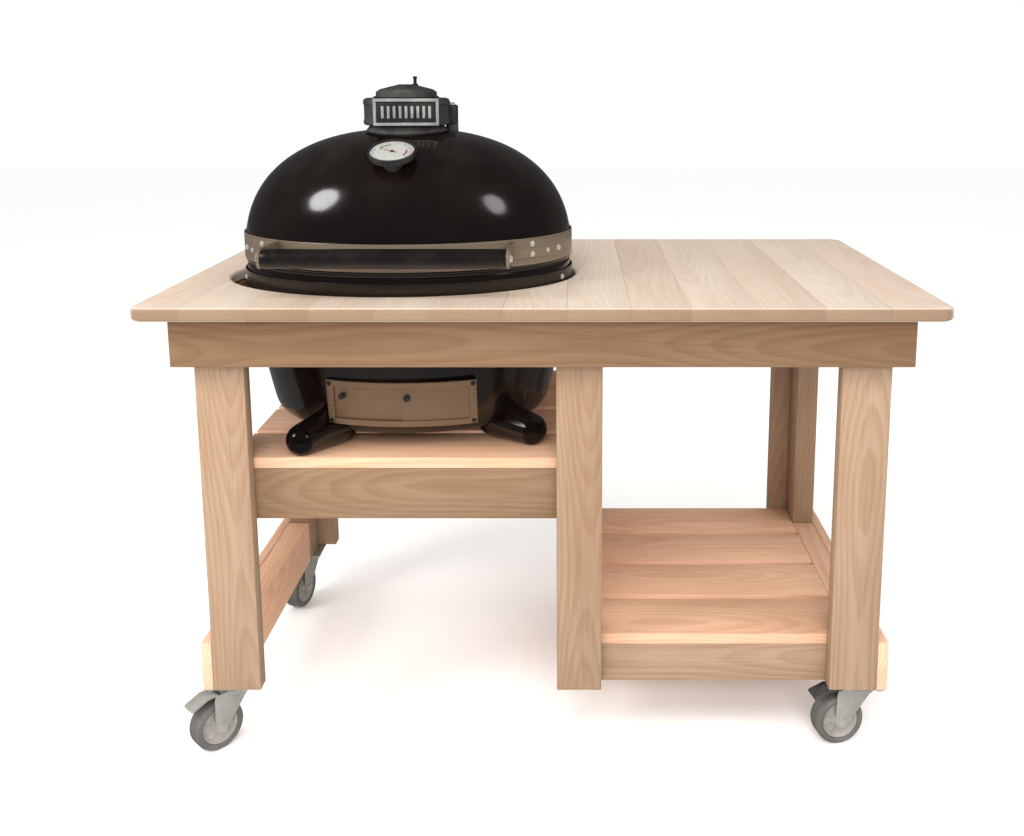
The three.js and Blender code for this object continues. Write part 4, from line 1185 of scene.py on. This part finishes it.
def rounded(r0, r1, z0, z1, edge, steps=4):
    # a rectangle (radius by height) with rounded corners, as a closed profile
    points = []
    inner, outer, low, high = r0 + edge, r1 - edge, z0 + edge, z1 - edge
    for i, (cr, cz) in enumerate([(outer, low), (outer, high), (inner, high), (inner, low)]):
        for k in range(steps + 1):
            a = math.pi / 2 * (i - 1 + k / steps)
            points.append((cr + edge * math.cos(a), cz + edge * math.sin(a)))
    return points


def buildDome():
    half = grill["half"]
    bandRadius = half * lidShare(shell["bandTop"], shell["rise"]) - 0.0004
    z = shell["lidBottom"]
    lip = [
        (0.309, z), (half - 0.004, z), (half - 0.0012, z + 0.0012), (half, z + 0.004),
        (half - 0.0006, z + 0.0063), (bandRadius, z + 0.0064),
    ]
    outer = lidProfile(half, shell["rise"], shell["bandTop"], shell["neck"], 56)
    inner = lidProfile(
        half - shell["wall"], shell["rise"] - shell["crown"], shell["springZ"] + 0.002, shell["neck"], 30
    )[::-1]
    ovalPiece("domeShell", lip + outer + inner, "glaze", "lid", ["dome"], 50)
    ovalPiece("lidBand", rounded(*shell["lidBand"]), "bandSteel", "lid", ["lid_band"])
    ovalPiece("lidGasket", rounded(*shell["lidGasket"]), "felt", "lid", [])


def quadratic(a, b, c, steps):
    found = []
    for i in range(1, steps + 1):
        t = i / steps
        found.append(tuple((1 - t) ** 2 * a[k] + 2 * t * (1 - t) * b[k] + t * t * c[k] for k in range(2)))
    return found


def bowlProfile(grow=0.0):
    outer = [(0.0, 0.622 - grow), (0.2, 0.622 - grow), (0.236, 0.622 - grow)]
    outer += quadratic((0.236, 0.622 - grow), (0.28 + grow, 0.622 - grow), (0.29 + grow, 0.664), 14)
    outer += quadratic((0.29 + grow, 0.664), (0.318 + grow, 0.78), (0.331 + grow, 0.89), 20)
    return outer


def buildBowl():
    bm = bmesh.new()
    profile = bowlProfile() + shell["bowlRim"] + shell["bowlInside"]
    turned(bm, profile, shell["sides"], grill["ratio"], (grill["x"], grill["y"], 0))
    cutter = bmesh.new()
    boxOf(cutter, *shell["bowlDraft"])
    mesh = cutBy(meshFrom("bowlShell", bm), [meshFrom("draftCut", cutter)])
    settle("bowlShell", mesh, [finish["glaze"]], "frame", ["lower_bowl"], 40)
    ovalPiece("bowlBand", rounded(*shell["bowlBand"]), "lowBandSteel", "frame", ["base_band"])
    ovalPiece("bowlGasket", rounded(*shell["bowlGasket"]), "felt", "frame", ["gasket"])


def buildFirebox():
    bm = bmesh.new()
    profile = shell["fireboxOutside"] + shell["fireboxInside"]
    turned(bm, profile, 144, grill["ratio"], (grill["x"], grill["y"], 0))
    cutter = bmesh.new()
    boxOf(cutter, *shell["fireboxDraft"])
    mesh = cutBy(meshFrom("fireboxRing", bm), [meshFrom("draftCut", cutter)])
    settle("fireboxRing", mesh, [finish["fireClay"]], "frame", ["firebox"], 40)


grate = {
    "bars": 13,
    "pitch": 0.0215,
    "rim": 0.284,
    "rod": 0.004,
    "bar": 0.0028,
    "height": 0.9093,
    "split": 0.003,
}


def buildCookingGrate(side, node, name):
    # a rim rod bent into half an oval and its chord, with bars from front to back
    bm = bmesh.new()
    path = []
    middle = Vector((grill["x"], grill["y"], grate["height"]))
    first = grate["split"] + grate["rod"] + grate["pitch"]
    rim = grate["rim"] - grate["rod"]
    start = math.acos((grate["split"] + grate["rod"]) / rim)
    for i in range(73):
        a = -start + 2 * start * i / 72
        across, along = side * rim * math.cos(a), rim * grill["ratio"] * math.sin(a)
        path.append(middle + Vector((across, along, 0)))
    sweepLoop(bm, path, grate["rod"], 12)
    mesh = grown("bars", {
        "Bars": grate["bars"] - 1, "Middle": middle, "First Offset": side * first,
        "Pitch": side * grate["pitch"], "Oval Half": rim, "Ratio": grill["ratio"],
        "Rod": grate["bar"], "Iron": finish["grateIron"],
    })
    bm.from_mesh(mesh)
    made = meshFrom(name, bm)
    settle(name, made, [finish["grateIron"]], "frame", [node], 40)


def sweepLoop(bm, path, radius, sides):
    # a round rod bent along a closed path
    rings = []
    count = len(path)
    for i, p in enumerate(path):
        along = (path[(i + 1) % count] - path[(i - 1) % count]).normalized()
        side = along.cross(Vector((0, 0, 1))).normalized()
        up = side.cross(along)
        angles = [2 * math.pi * k / sides for k in range(sides)]
        rings.append([bm.verts.new(p + (side * math.cos(a) + up * math.sin(a)) * radius) for a in angles])
    faces = []
    for a, b in zip(rings, rings[1:] + rings[:1]):
        for k in range(sides):
            faces.append(bm.faces.new((a[k], a[(k + 1) % sides], b[(k + 1) % sides], b[k])))
    bmesh.ops.recalc_face_normals(bm, faces=faces)


buildDome()
buildBowl()
buildFirebox()
buildCookingGrate(-1, "cooking_grate_left", "cookingGrateLeft")
buildCookingGrate(1, "cooking_grate_right", "cookingGrateRight")
refined("fireGrate", "fire_grate", 0.0012, "grateIron", "frame", 28)
print("shells and grates built")


# ---- feet under the bowl
def shoeMesh(name, noseX, noseY):
    centre = Vector((grill["x"], grill["y"], 0))
    nose = Vector((grill["x"] + noseX, grill["y"] + noseY, 0))
    inward = (centre - nose).normalized()
    deckTop = 0.598
    hull = bmesh.new()
    for height, radius, step in ((0.031, 0.031, 0.0), (0.036, 0.034, 0.092), (0.058, 0.022, 0.062)):
        place = nose + inward * step + Vector((0, 0, deckTop + height - 0.002))
        spot = Matrix.Translation(place)
        bmesh.ops.create_uvsphere(hull, u_segments=48, v_segments=28, radius=radius, matrix=spot)
    made = bmesh.ops.convex_hull(hull, input=hull.verts[:])
    spare = [g for g in made["geom_interior"] + made["geom_unused"] if isinstance(g, bmesh.types.BMVert)]
    bmesh.ops.delete(hull, geom=list(set(spare)), context="VERTS")
    floorCut = bmesh.new()
    boxOf(floorCut, (-0.8, -0.5, 0.5), (0.4, 0.5, deckTop + 0.0003))
    space = bmesh.new()
    profile = bowlProfile(0.0003) + [(0.3353, 0.946), (0.0, 0.946)]
    turned(space, profile, 96, grill["ratio"], (grill["x"], grill["y"], 0))
    doorway = bmesh.new()
    boxOf(doorway, (-0.426, -0.4, 0.646), (-0.130, -0.1, 0.74), 0.003)
    cutters = [meshFrom("under", floorCut), meshFrom("space", space), meshFrom("doorway", doorway)]
    return cutBy(meshFrom(name, hull), cutters)


for shoeName, node, noseX, noseY in (
    ("shoeFrontLeft", "foot_front_left", -0.182, -0.228),
    ("shoeFrontRight", "foot_front_right", 0.258, -0.168),
    ("shoeRear", "foot_rear", -0.030, 0.232),
):
    settle(shoeName, shoeMesh(shoeName, noseX, noseY), [finish["glaze"]], "frame", [node], 30)
print("shoes built")


# ---- draft door
draft = {
    "x": -0.278,
    "y": 0.136,
    "curve": 0.408,
    "lean": 0.165,
    "middle": 0.694,
    "doorLow": 0.656,
    "doorHigh": 0.732,
    "sheet": 0.0016,
    "steps": 28,
    "pull": [  # profile of a door's pull, in radius and height
        (0, 0), (0.0064, 0), (0.0064, 0.0012), (0.0036, 0.0022), (0.0032, 0.0055), (0.0042, 0.0072),
        (0.0056, 0.0086), (0.0058, 0.0108), (0.0050, 0.0124), (0.0030, 0.0132), (0, 0.0134),
    ],
}


def onDraft(x, z, out):
    radius = draft["curve"] + out + (z - draft["middle"]) * draft["lean"]
    return Vector((draft["x"] + x, draft["y"] - math.sqrt(radius ** 2 - x * x), z))


def draftOut(x):
    return Vector((x, -math.sqrt(draft["curve"] ** 2 - x * x), 0)).normalized()


def knobPiece(name, x, inner, body):
    # a turned pull with a waist, on a small collar
    base = onDraft(x, draft["middle"] + 0.016, inner + 0.001)
    matrix = Matrix.Translation(base) @ draftOut(x).to_track_quat("Z", "Y").to_matrix().to_4x4()
    bm = bmesh.new()
    turned(bm, draft["pull"], 32, matrix=matrix)
    placed(name, bm, "darkScrew", body)


def doorPanel(name, node, x0, x1, inner, knobX, body):
    # a curved sheet with its edges rounded, and its pull
    bm = bmesh.new()
    z0, z1, thick, steps = draft["doorLow"], draft["doorHigh"], draft["sheet"], draft["steps"]
    rows = []
    for i in range(steps + 1):
        x = x0 + (x1 - x0) * i / steps
        rows.append([
            bm.verts.new(onDraft(x, z0, inner)), bm.verts.new(onDraft(x, z0, inner + thick)),
            bm.verts.new(onDraft(x, z1, inner + thick)), bm.verts.new(onDraft(x, z1, inner)),
        ])
    for a, b in zip(rows, rows[1:]):
        for k in range(4):
            bm.faces.new((a[k], a[(k + 1) % 4], b[(k + 1) % 4], b[k]))
    bm.faces.new(rows[0])
    bm.faces.new(rows[-1])
    bmesh.ops.recalc_face_normals(bm, faces=bm.faces)
    sharp = [e for e in bm.edges if e.calc_face_angle(0) > 1.0]
    bmesh.ops.bevel(bm, geom=sharp, offset=0.0004, segments=2, profile=0.5, affect="EDGES")
    placed(name, bm, "doorSteel", body, [node])
    knobPiece(name + "Pull", knobX, inner + thick, body)


refined("draftFrame", "draft_frame", 0.0008, "doorSteel", "frame")
doorPanel("draftDoorLeft", "draft_door_left", -0.137, 0.007, 0.0026, -0.112, "door_left")
doorPanel("draftDoorRight", "draft_door_right", 0.003, 0.137, 0.0049, 0.014, "door_right")
draftScrews = [
    (onDraft(x, z, 0.0092), draftOut(x)) for x in (-0.1395, 0.1395) for z in (0.6545, 0.7335)
]
addFixings("draftScrews", draftScrews, "draftScrew", "frame", "darkScrew", 9)
print("draft door built")


# ---- thermometer
dial = {
    "radius": 0.046,
    "thick": 0.015,
    "back": 0.014,
    "z": 1.156,
    "tilt": 66,
    "start": 3.9,
    "sweep": -4.5,
    "zones": [(0.26, 0.47), (0.82, 1.0)],  # shares of the sweep
    "ticks": [  # name, number, length, width, radius of their circle
        ("dialTicks", 46, 0.0026, 0.0004, 0.0362),
        ("dialMainTicks", 10, 0.0052, 0.0009, 0.0348),
    ],
}


def dialMatrix():
    lean = math.radians(dial["tilt"])
    out = Vector((0, -math.cos(lean), math.sin(lean)))
    up = Vector((0, math.sin(lean), math.cos(lean)))
    footY = grill["y"] - grill["half"] * grill["ratio"] * lidShare(dial["z"], shell["rise"])
    matrix = Matrix((Vector((1, 0, 0)), up, out)).transposed().to_4x4()
    matrix.translation = Vector((grill["x"], footY, dial["z"]))
    return matrix


def arcBand(bm, r0, r1, a0, a1, z, thick, matrix, material=0, steps=24):
    rows = []
    for i in range(steps + 1):
        a = a0 + (a1 - a0) * i / steps
        c, s = math.cos(a), math.sin(a)
        corners = ((r0, z), (r1, z), (r1, z + thick), (r0, z + thick))
        rows.append([bm.verts.new(matrix @ Vector((r * c, r * s, h))) for r, h in corners])
    faces = []
    for a, b in zip(rows, rows[1:]):
        faces += [bm.faces.new((a[k], a[(k + 1) % 4], b[(k + 1) % 4], b[k])) for k in range(4)]
    faces += [bm.faces.new(rows[0]), bm.faces.new(rows[-1])]
    for f in faces:
        f.material_index = material
    bmesh.ops.recalc_face_normals(bm, faces=faces)


def buildDial():
    matrix = dialMatrix()
    r, back, face = dial["radius"], dial["back"], dial["back"] + dial["thick"]
    bm = bmesh.new()
    case = [
        (0, back), (r - 0.006, back), (r - 0.002, back + 0.002), (r - 0.0008, back + 0.007),
        (r - 0.0008, face - 0.004), (r, face - 0.0035), (r, face - 0.001), (r - 0.0012, face),
        (r - 0.0038, face), (r - 0.0044, face - 0.0009), (r - 0.0046, face - 0.0042), (0, face - 0.0042),
    ]
    turned(bm, case, 96, matrix=matrix)
    stem = [
        (0, -0.075), (0.003, -0.072), (0.004, -0.068), (0.004, -0.02), (0.017, -0.02), (0.019, -0.016),
        (0.019, 0.008), (0.016, back + 0.0005), (0, back + 0.0005),
    ]
    turned(bm, stem, 40, matrix=matrix)
    placed("dialCase", bm, "blackPaint", "lid", ["thermometer_case"])
    bm = bmesh.new()
    plate = [
        (0, face - 0.0043), (r - 0.0047, face - 0.0043), (r - 0.0047, face - 0.0040),
        (r - 0.0058, face - 0.0039), (0, face - 0.0039),
    ]
    turned(bm, plate, 96, matrix=matrix)
    placed("dialFace", bm, "dialWhite", "lid")
    bm = bmesh.new()
    for slot, (share0, share1) in enumerate(dial["zones"]):
        a0, a1 = dial["start"] + dial["sweep"] * share0, dial["start"] + dial["sweep"] * share1
        arcBand(bm, 0.0255, 0.0292, a0, a1, face - 0.0039, 0.00015, matrix, slot)
    zoneLooks = [finish["dialGreen"], finish["dialRed"]]
    settle("dialZones", meshFrom("dialZones", bm), zoneLooks, "lid")
    for name, marks, length, wide, circle in dial["ticks"]:
        mesh = grown("marks", {
            "Marks": marks, "Circle": circle, "Start": dial["start"], "Sweep": dial["sweep"],
            "Long": length, "Wide": wide, "Thick": 0.0002, "Ink": finish["dialInk"],
        })
        mesh.transform(matrix @ Matrix.Translation((0, 0, face - 0.00385)))
        settle(name, mesh, [finish["dialInk"]], "lid")
    bm = bmesh.new()
    bowed = [
        (r - 0.0042, face - 0.0012), (r - 0.0042, face - 0.0006), (0.03, face - 0.0001),
        (0.015, face + 0.0004), (0, face + 0.0006),
    ]
    under = [(0, face - 0.0002), (0.015, face - 0.0004), (0.03, face - 0.0009)]
    turned(bm, under + bowed, 64, matrix=matrix)
    placed("dialGlass", bm, "glass", "lid")


def buildNeedle():
    matrix = dialMatrix()
    face = dial["back"] + dial["thick"]
    base = face - 0.0037
    turn = Matrix.Rotation(math.atan2(0.43, -0.9), 4, "Z")
    bm = bmesh.new()
    plan = [
        (-0.009, -0.0016), (-0.009, 0.0016), (0.0, 0.0012), (0.027, 0.0003), (0.0285, 0.0), (0.027, -0.0003),
        (0.0, -0.0012),
    ]
    rows = [[bm.verts.new(matrix @ turn @ Vector((x, y, z))) for x, y in plan] for z in (base, base + 0.0007)]
    bm.faces.new(rows[0])
    bm.faces.new(rows[1])
    for i in range(len(plan)):
        j = (i + 1) % len(plan)
        bm.faces.new((rows[0][i], rows[0][j], rows[1][j], rows[1][i]))
    bmesh.ops.recalc_face_normals(bm, faces=bm.faces)
    hub = [(0, base), (0.0038, base), (0.0040, base + 0.0008), (0.0032, base + 0.0016), (0, base + 0.0020)]
    turned(bm, hub, 32, matrix=matrix, material=1)
    looks = [finish["dialRed"], finish["dialInk"]]
    settle("dialNeedle", meshFrom("dialNeedle", bm), looks, "needle", ["dial_needle"])


buildDial()
buildNeedle()
print("thermometer built")


# ---- chimney
chimney = {
    "bore": 0.046,
    "flange": 0.084,
    "collarTop": 1.222,
    "capRadius": 0.088,
    "capTop": 1.277,
    "yaw": 8,
    "ports": 4,
    "pivot": (0.090, 0.020),  # from the grill's middle
}


def capMatrix():
    turn = Matrix.Rotation(math.radians(chimney["yaw"]), 4, "Z")
    return Matrix.Translation((grill["x"], grill["y"], 0)) @ turn


def pivotSpot(z):
    return (grill["x"] + chimney["pivot"][0], grill["y"] + chimney["pivot"][1], z)


def portCutters(z0, z1, turn):
    found = []
    for i in range(chimney["ports"]):
        a = math.pi / 2 * i + math.radians(turn)
        bm = bmesh.new()
        spot = capMatrix() @ Matrix.Translation((0.030 * math.cos(a), 0.030 * math.sin(a), 0))
        turned(bm, [(0, z0), (0.013, z0), (0.013, z1), (0, z1)], 32, matrix=spot)
        found.append(meshFrom("port", bm))
    return found


def buildCollar():
    bm = bmesh.new()
    z1, bore, flange = chimney["collarTop"], chimney["bore"], chimney["flange"]
    ring = [
        (bore, 1.192), (flange - 0.004, 1.194), (flange, 1.198), (flange, z1 - 0.012),
        (flange - 0.002, z1 - 0.0085), (flange - 0.008, z1 - 0.001), (flange - 0.011, z1),
        (bore + 0.002, z1), (bore, z1 - 0.002),
    ]
    turned(bm, ring, 96, centre=(grill["x"], grill["y"], 0))
    lug = [(0, 1.204), (0.011, 1.204), (0.013, 1.206), (0.013, z1 - 0.0012), (0.012, z1), (0, z1)]
    turned(bm, lug, 32, centre=(grill["x"] + flange + 0.006, grill["y"] + 0.020, 0))
    placed("chimneyCollar", bm, "capIron", "lid", ["chimney_collar"])


def buildCap():
    z0, z1 = chimney["collarTop"] + 0.0003, chimney["capTop"]
    radius, bore = chimney["capRadius"], chimney["bore"] + 0.004
    matrix = capMatrix()
    bm = bmesh.new()
    drum = [
        (0, z1 - 0.008), (bore, z1 - 0.008), (bore, z0), (radius - 0.004, z0), (radius - 0.001, z0 + 0.0015),
        (radius, z0 + 0.005), (radius, z0 + 0.010), (radius - 0.0015, z0 + 0.0115),
        (radius - 0.0015, z1 - 0.014), (radius, z1 - 0.0125), (radius, z1 - 0.006),
        (radius - 0.0025, z1 - 0.002), (radius - 0.008, z1), (0, z1),
    ]
    turned(bm, drum, 96, matrix=matrix)
    mesh = cutBy(meshFrom("chimneyCap", bm), portCutters(z1 - 0.02, z1 + 0.02, 0))
    settle("chimneyCap", mesh, [finish["capIron"]], "cap", ["chimney_cap"], 35)
    bm = bmesh.new()
    top = z0 + 0.040
    lug = [(0, z0), (0.012, z0), (0.013, z0 + 0.001), (0.013, top - 0.003), (0.011, top), (0, top)]
    turned(bm, lug, 32, centre=pivotSpot(0))
    placed("capPivot", bm, "blackPaint", "cap")


capPlate = {
    "half": 0.064,
    "low": 0.001,
    "high": 0.054,
    "front": 0.005,
    "frame": 0.006,
    "ribs": 9,
    "ribHalf": 0.0028,
}


def buildCapPlate():
    # a framed front plate with plain upright ribs
    matrix = capMatrix()
    z0 = chimney["collarTop"] + 0.0003
    y = -chimney["capRadius"] - capPlate["front"]
    w, rim = capPlate["half"], capPlate["frame"]
    low, high = z0 + capPlate["low"], z0 + capPlate["high"]
    bm = bmesh.new()
    for lowCorner, highCorner in (
        ((-w, y, low), (w, y + 0.008, low + rim)), ((-w, y, high - rim), (w, y + 0.008, high)),
        ((-w, y, low + rim - 0.001), (-w + rim, y + 0.008, high - rim + 0.001)),
        ((w - rim, y, low + rim - 0.001), (w, y + 0.008, high - rim + 0.001)),
    ):
        boxOf(bm, lowCorner, highCorner, 0.0012)
    span = 2 * (w - 3 * rim)
    inset, thick = 2.4 * rim, capPlate["ribHalf"]
    for i in range(capPlate["ribs"]):
        x = -span / 2 + span * i / (capPlate["ribs"] - 1)
        boxOf(bm, (x - thick, y + 0.0008, low + inset), (x + thick, y + 0.005, high - inset), 0.0012)
    for v in bm.verts:
        v.co = matrix @ v.co
    placed("capPlateFrame", bm, "silverPaint", "cap")
    bm = bmesh.new()
    boxOf(bm, (-w + 0.001, y + 0.0035, low + 0.001), (w - 0.001, y + 0.031, high - 0.001), 0.002)
    for v in bm.verts:
        v.co = matrix @ v.co
    placed("capPlateBack", bm, "blackPaint", "cap")


def buildDamper():
    z0 = chimney["capTop"] + 0.0003
    bm = bmesh.new()
    disc = [
        (0, z0), (0.0605, z0), (0.062, z0 + 0.0015), (0.062, z0 + 0.0105), (0.0605, z0 + 0.0125),
        (0.054, z0 + 0.017), (0.018, z0 + 0.026), (0.015, z0 + 0.0268), (0, z0 + 0.027),
    ]
    turned(bm, disc, 96, matrix=capMatrix())
    mesh = cutBy(meshFrom("damperDisc", bm), portCutters(z0 - 0.005, z0 + 0.06, 26))
    settle("damperDisc", mesh, [finish["capIron"]], "damper", ["damper_disc"], 35)
    bm = bmesh.new()
    pin = [
        (0, z0 + 0.020), (0.0062, z0 + 0.020), (0.0062, z0 + 0.0275), (0.0034, z0 + 0.0285),
        (0.0034, z0 + 0.0385), (0.0046, z0 + 0.0395), (0.0046, z0 + 0.0415), (0.003, z0 + 0.043),
        (0, z0 + 0.043),
    ]
    turned(bm, pin, 28, matrix=capMatrix() @ Matrix.Translation((0.018, -0.004, 0)))
    placed("damperPin", bm, "blackPaint", "damper")


buildCollar()
buildCap()
buildCapPlate()
buildDamper()
roofCircle, roofZ = 0.0745, chimney["capTop"] - 0.0004
roofBolts = [
    (capMatrix() @ Vector((roofCircle * math.cos(a), roofCircle * math.sin(a), roofZ)), (0, 0, 1))
    for a in (0.6, 2.54, -0.6, -2.54)
]
addFixings("roofBolts", roofBolts, "roofBolt", "cap", "blackPaint", 3)
pivotTop = pivotSpot(chimney["collarTop"] + 0.04)
addFixings("pivotBolt", [(pivotTop, (0, 0, 1))], "pivotBolt", "cap", "boltSteel", 4)
print("chimney built")

# ---- handle
handle = {"radius": 0.018, "length": 0.442, "y": -0.356, "z": 0.993, "arm": 0.006}


def buildHandle():
    half = handle["length"] / 2 - 0.0003
    turn = Matrix.Translation((grill["x"], handle["y"], handle["z"])) @ Matrix.Rotation(math.pi / 2, 4, "Y")
    r = handle["radius"]
    profile = [
        (0, -half), (r - 0.003, -half), (r - 0.0008, -half + 0.001), (r, -half + 0.003), (r, -half + 0.014),
        (r - 0.0007, -half + 0.0147), (r - 0.0007, -half + 0.0163), (r, -half + 0.017),
    ]
    profile += [(r, half * k) for k in (-0.5, 0.0, 0.5)]
    profile += [(radius, -z) for radius, z in reversed(profile[:8])]
    bm = bmesh.new()
    turned(bm, profile, 64, matrix=turn)
    placed("handleBar", bm, "handleBlack", "lid", ["handle_bar"])
    refined("handleBracketLeft", "handle_bracket_left", 0.0008, "bandSteel", "lid")
    refined("handleBracketRight", "handle_bracket_right", 0.0008, "bandSteel", "lid")
    outer = handle["length"] / 2 + handle["arm"]
    spots = [((grill["x"] + side * outer, handle["y"], handle["z"]), (side, 0, 0)) for side in (-1, 1)]
    addFixings("handleBolts", spots, "handleBolt", "lid", "boltSteel", 6)


def bandSpot(degrees, radius, z):
    a = math.radians(degrees)
    place = Vector((grill["x"] + radius * math.cos(a), grill["y"] + radius * grill["ratio"] * math.sin(a), z))
    return place, Vector((grill["ratio"] * math.cos(a), math.sin(a), 0)).normalized()


buildHandle()
bandBolts = [bandSpot(a, 0.3381, 0.982) for a in (-31, -23, 211, 203)]
addFixings("bandBolts", bandBolts, "bandRivet", "lid", "boltSteel", 7)
bracketBolts = [bandSpot(a, 0.342, z) for a in (-40, 220) for z in (0.979, 0.999)]
addFixings("bracketBolts", bracketBolts, "bracketBolt", "lid", "boltSteel", 8)
lowBandBolts = [bandSpot(a, 0.3389, 0.920) for a in (-20, 200)]
addFixings("lowBandBolts", lowBandBolts, "lowBandRivet", "frame", "boltSteel", 12)


# ---- hinge
def buildHinge():
    refined("hingeLower", "hinge_lower", 0.0008, "bandSteel", "frame")
    refined("hingeUpper", "hinge_upper", 0.0008, "bandSteel", "lid")
    refined("hingePin", "hinge_pin", 0.0008, "zincPlate", "frame")
    backY = grill["y"] + grill["half"] * grill["ratio"]
    low = [((grill["x"] + x, backY + 0.009, 0.911), (0, 1, 0)) for x in (-0.042, 0.042)]
    high = [((grill["x"] + x, backY + 0.007, z), (0, 1, 0)) for x in (-0.034, 0.034) for z in (0.980, 0.995)]
    addFixings("hingeLowerBolts", low, "hingeLowerBolt", "frame", "boltSteel", 13)
    addFixings("hingeUpperBolts", high, "hingeUpperBolt", "lid", "boltSteel", 14)


buildHinge()

# ---- casters
caster = {
    "x": 0.626,
    "front": -0.287,
    "back": 0.287,
    "plateTop": 0.1327,
    "trail": 0.042,
    "wheel": 0.050,
    "wide": 0.036,
    "holes": (0.033, 0.037),
    "spokes": 9,
}
casterSpots = [
    ("front_left", -1, "front", 46), ("front_right", 1, "front", 12),
    ("back_left", -1, "back", 75), ("back_right", 1, "back", 20),
]


def tyreProfile():
    r, half = caster["wheel"], caster["wide"] / 2
    points = [(0.0355, -half + 0.003), (0.037, -half + 0.0006), (0.0385, -half), (0.0445, -half)]
    for k in range(1, 7):
        a = math.pi / 2 * k / 6
        points.append((0.0445 + (r - 0.0445) * math.sin(a), -half + 0.0065 * (1 - math.cos(a))))
    points += [(r, -0.004), (r - 0.0006, -0.0032), (r - 0.0006, 0.0)]
    mirrored = [(radius, -z) for radius, z in reversed(points[:-1])]
    return points + mirrored


def rimProfile():
    half = caster["wide"] / 2
    side = [
        (0.0064, -half - 0.002), (0.0125, -half - 0.002), (0.014, -half - 0.0005), (0.015, -half + 0.004),
        (0.017, -half + 0.0058), (0.029, -half + 0.0058), (0.0322, -half + 0.003), (0.0335, -half + 0.0012),
        (0.0354, -half + 0.0006), (0.0362, -half + 0.002),
    ]
    return side + [(radius, -z) for radius, z in reversed(side)]


def buildWheel(name, node, matrix, body):
    hub = Matrix.Translation((-caster["trail"], 0, caster["wheel"]))
    spot = matrix @ hub @ Matrix.Rotation(math.pi / 2, 4, "X")
    bm = bmesh.new()
    turned(bm, tyreProfile(), 96, matrix=spot)
    placed("tyre" + name, bm, "rubber", body, [node])
    spokes = caster["spokes"]
    bm = bmesh.new()
    turned(bm, rimProfile(), 72, matrix=spot)
    for sign in (-1, 1):
        mesh = grown("marks", {
            "Marks": spokes, "Circle": 0.0225, "Start": 0.0, "Sweep": 2 * math.pi * (spokes - 1) / spokes,
            "Long": 0.0135, "Wide": 0.0022, "Thick": 0.0024, "Ink": finish["rimPlastic"],
        })
        mesh.transform(spot @ Matrix.Translation((0, 0, sign * 0.0126)))
        bm.from_mesh(mesh)
    placed("rim" + name, bm, "rimPlastic", body)


def forkExtras(name, matrix, body):
    # axle nut, bolt head and the dust ring between plate and fork
    half = caster["wide"] / 2 + 0.003 + 0.003
    spots = []
    for sign in (-1, 1):
        place = matrix @ Vector((-caster["trail"], sign * half, caster["wheel"]))
        direction = (matrix.to_3x3() @ Vector((0, sign, 0))).normalized()
        spots.append((place, direction))
    addFixings("axleNuts" + name, spots, "axleNut", body, "boltSteel", 15)
    bm = bmesh.new()
    z1 = caster["plateTop"] - 0.0093
    ring = [
        (0.0285, z1 - 0.012), (0.0335, z1 - 0.0118), (0.0345, z1 - 0.009), (0.0342, z1 - 0.0045),
        (0.0325, z1 - 0.003), (0.0285, z1 - 0.0028),
    ]
    turned(bm, ring, 64, matrix=matrix)
    placed("raceRing" + name, bm, "zincPlate", body)


def buildCaster(node, side, row, turn):
    label = "".join(word.title() for word in node.split("_"))
    plate = Matrix.Translation((side * caster["x"], caster[row], 0))
    matrix = plate @ Matrix.Rotation(math.radians(turn), 4, "Z")
    refined("casterPlate" + label, "caster_plate_" + node, 0.0008, "zincPlate", "frame")
    refined("casterFork" + label, "caster_fork_" + node, 0.0007, "zincPlate", "swivel_" + node)
    buildWheel(label, "wheel_" + node, matrix, "wheel_" + node)
    forkExtras(label, matrix, "swivel_" + node)
    holeX, holeY = caster["holes"]
    corners = [(sx * holeX, sy * holeY, caster["plateTop"] - 0.004) for sx in (-1, 1) for sy in (-1, 1)]
    bolts = [(plate @ Vector(corner), (0, 0, -1)) for corner in corners]
    addFixings("plateBolts" + label, bolts, "plateBolt", "frame", "boltSteel", 16)
    if row == "front":
        metal = "zincPlate" if side < 0 else "pedalDark"
        refined("brakePedal" + label, "brake_pedal_" + node, 0.0008, metal, "pedal_" + node)


for spot in casterSpots:
    buildCaster(*spot)
print("casters built")


# ---- floor
def addFloor():
    bm = bmesh.new()
    bmesh.ops.create_grid(bm, x_segments=8, y_segments=8, size=14)
    for v in bm.verts:
        v.co.z = -0.0005
    floor = linkMesh("studioFloor", meshFrom("studioFloor", bm))
    floor.data.materials.append(makeFloor())


addFloor()
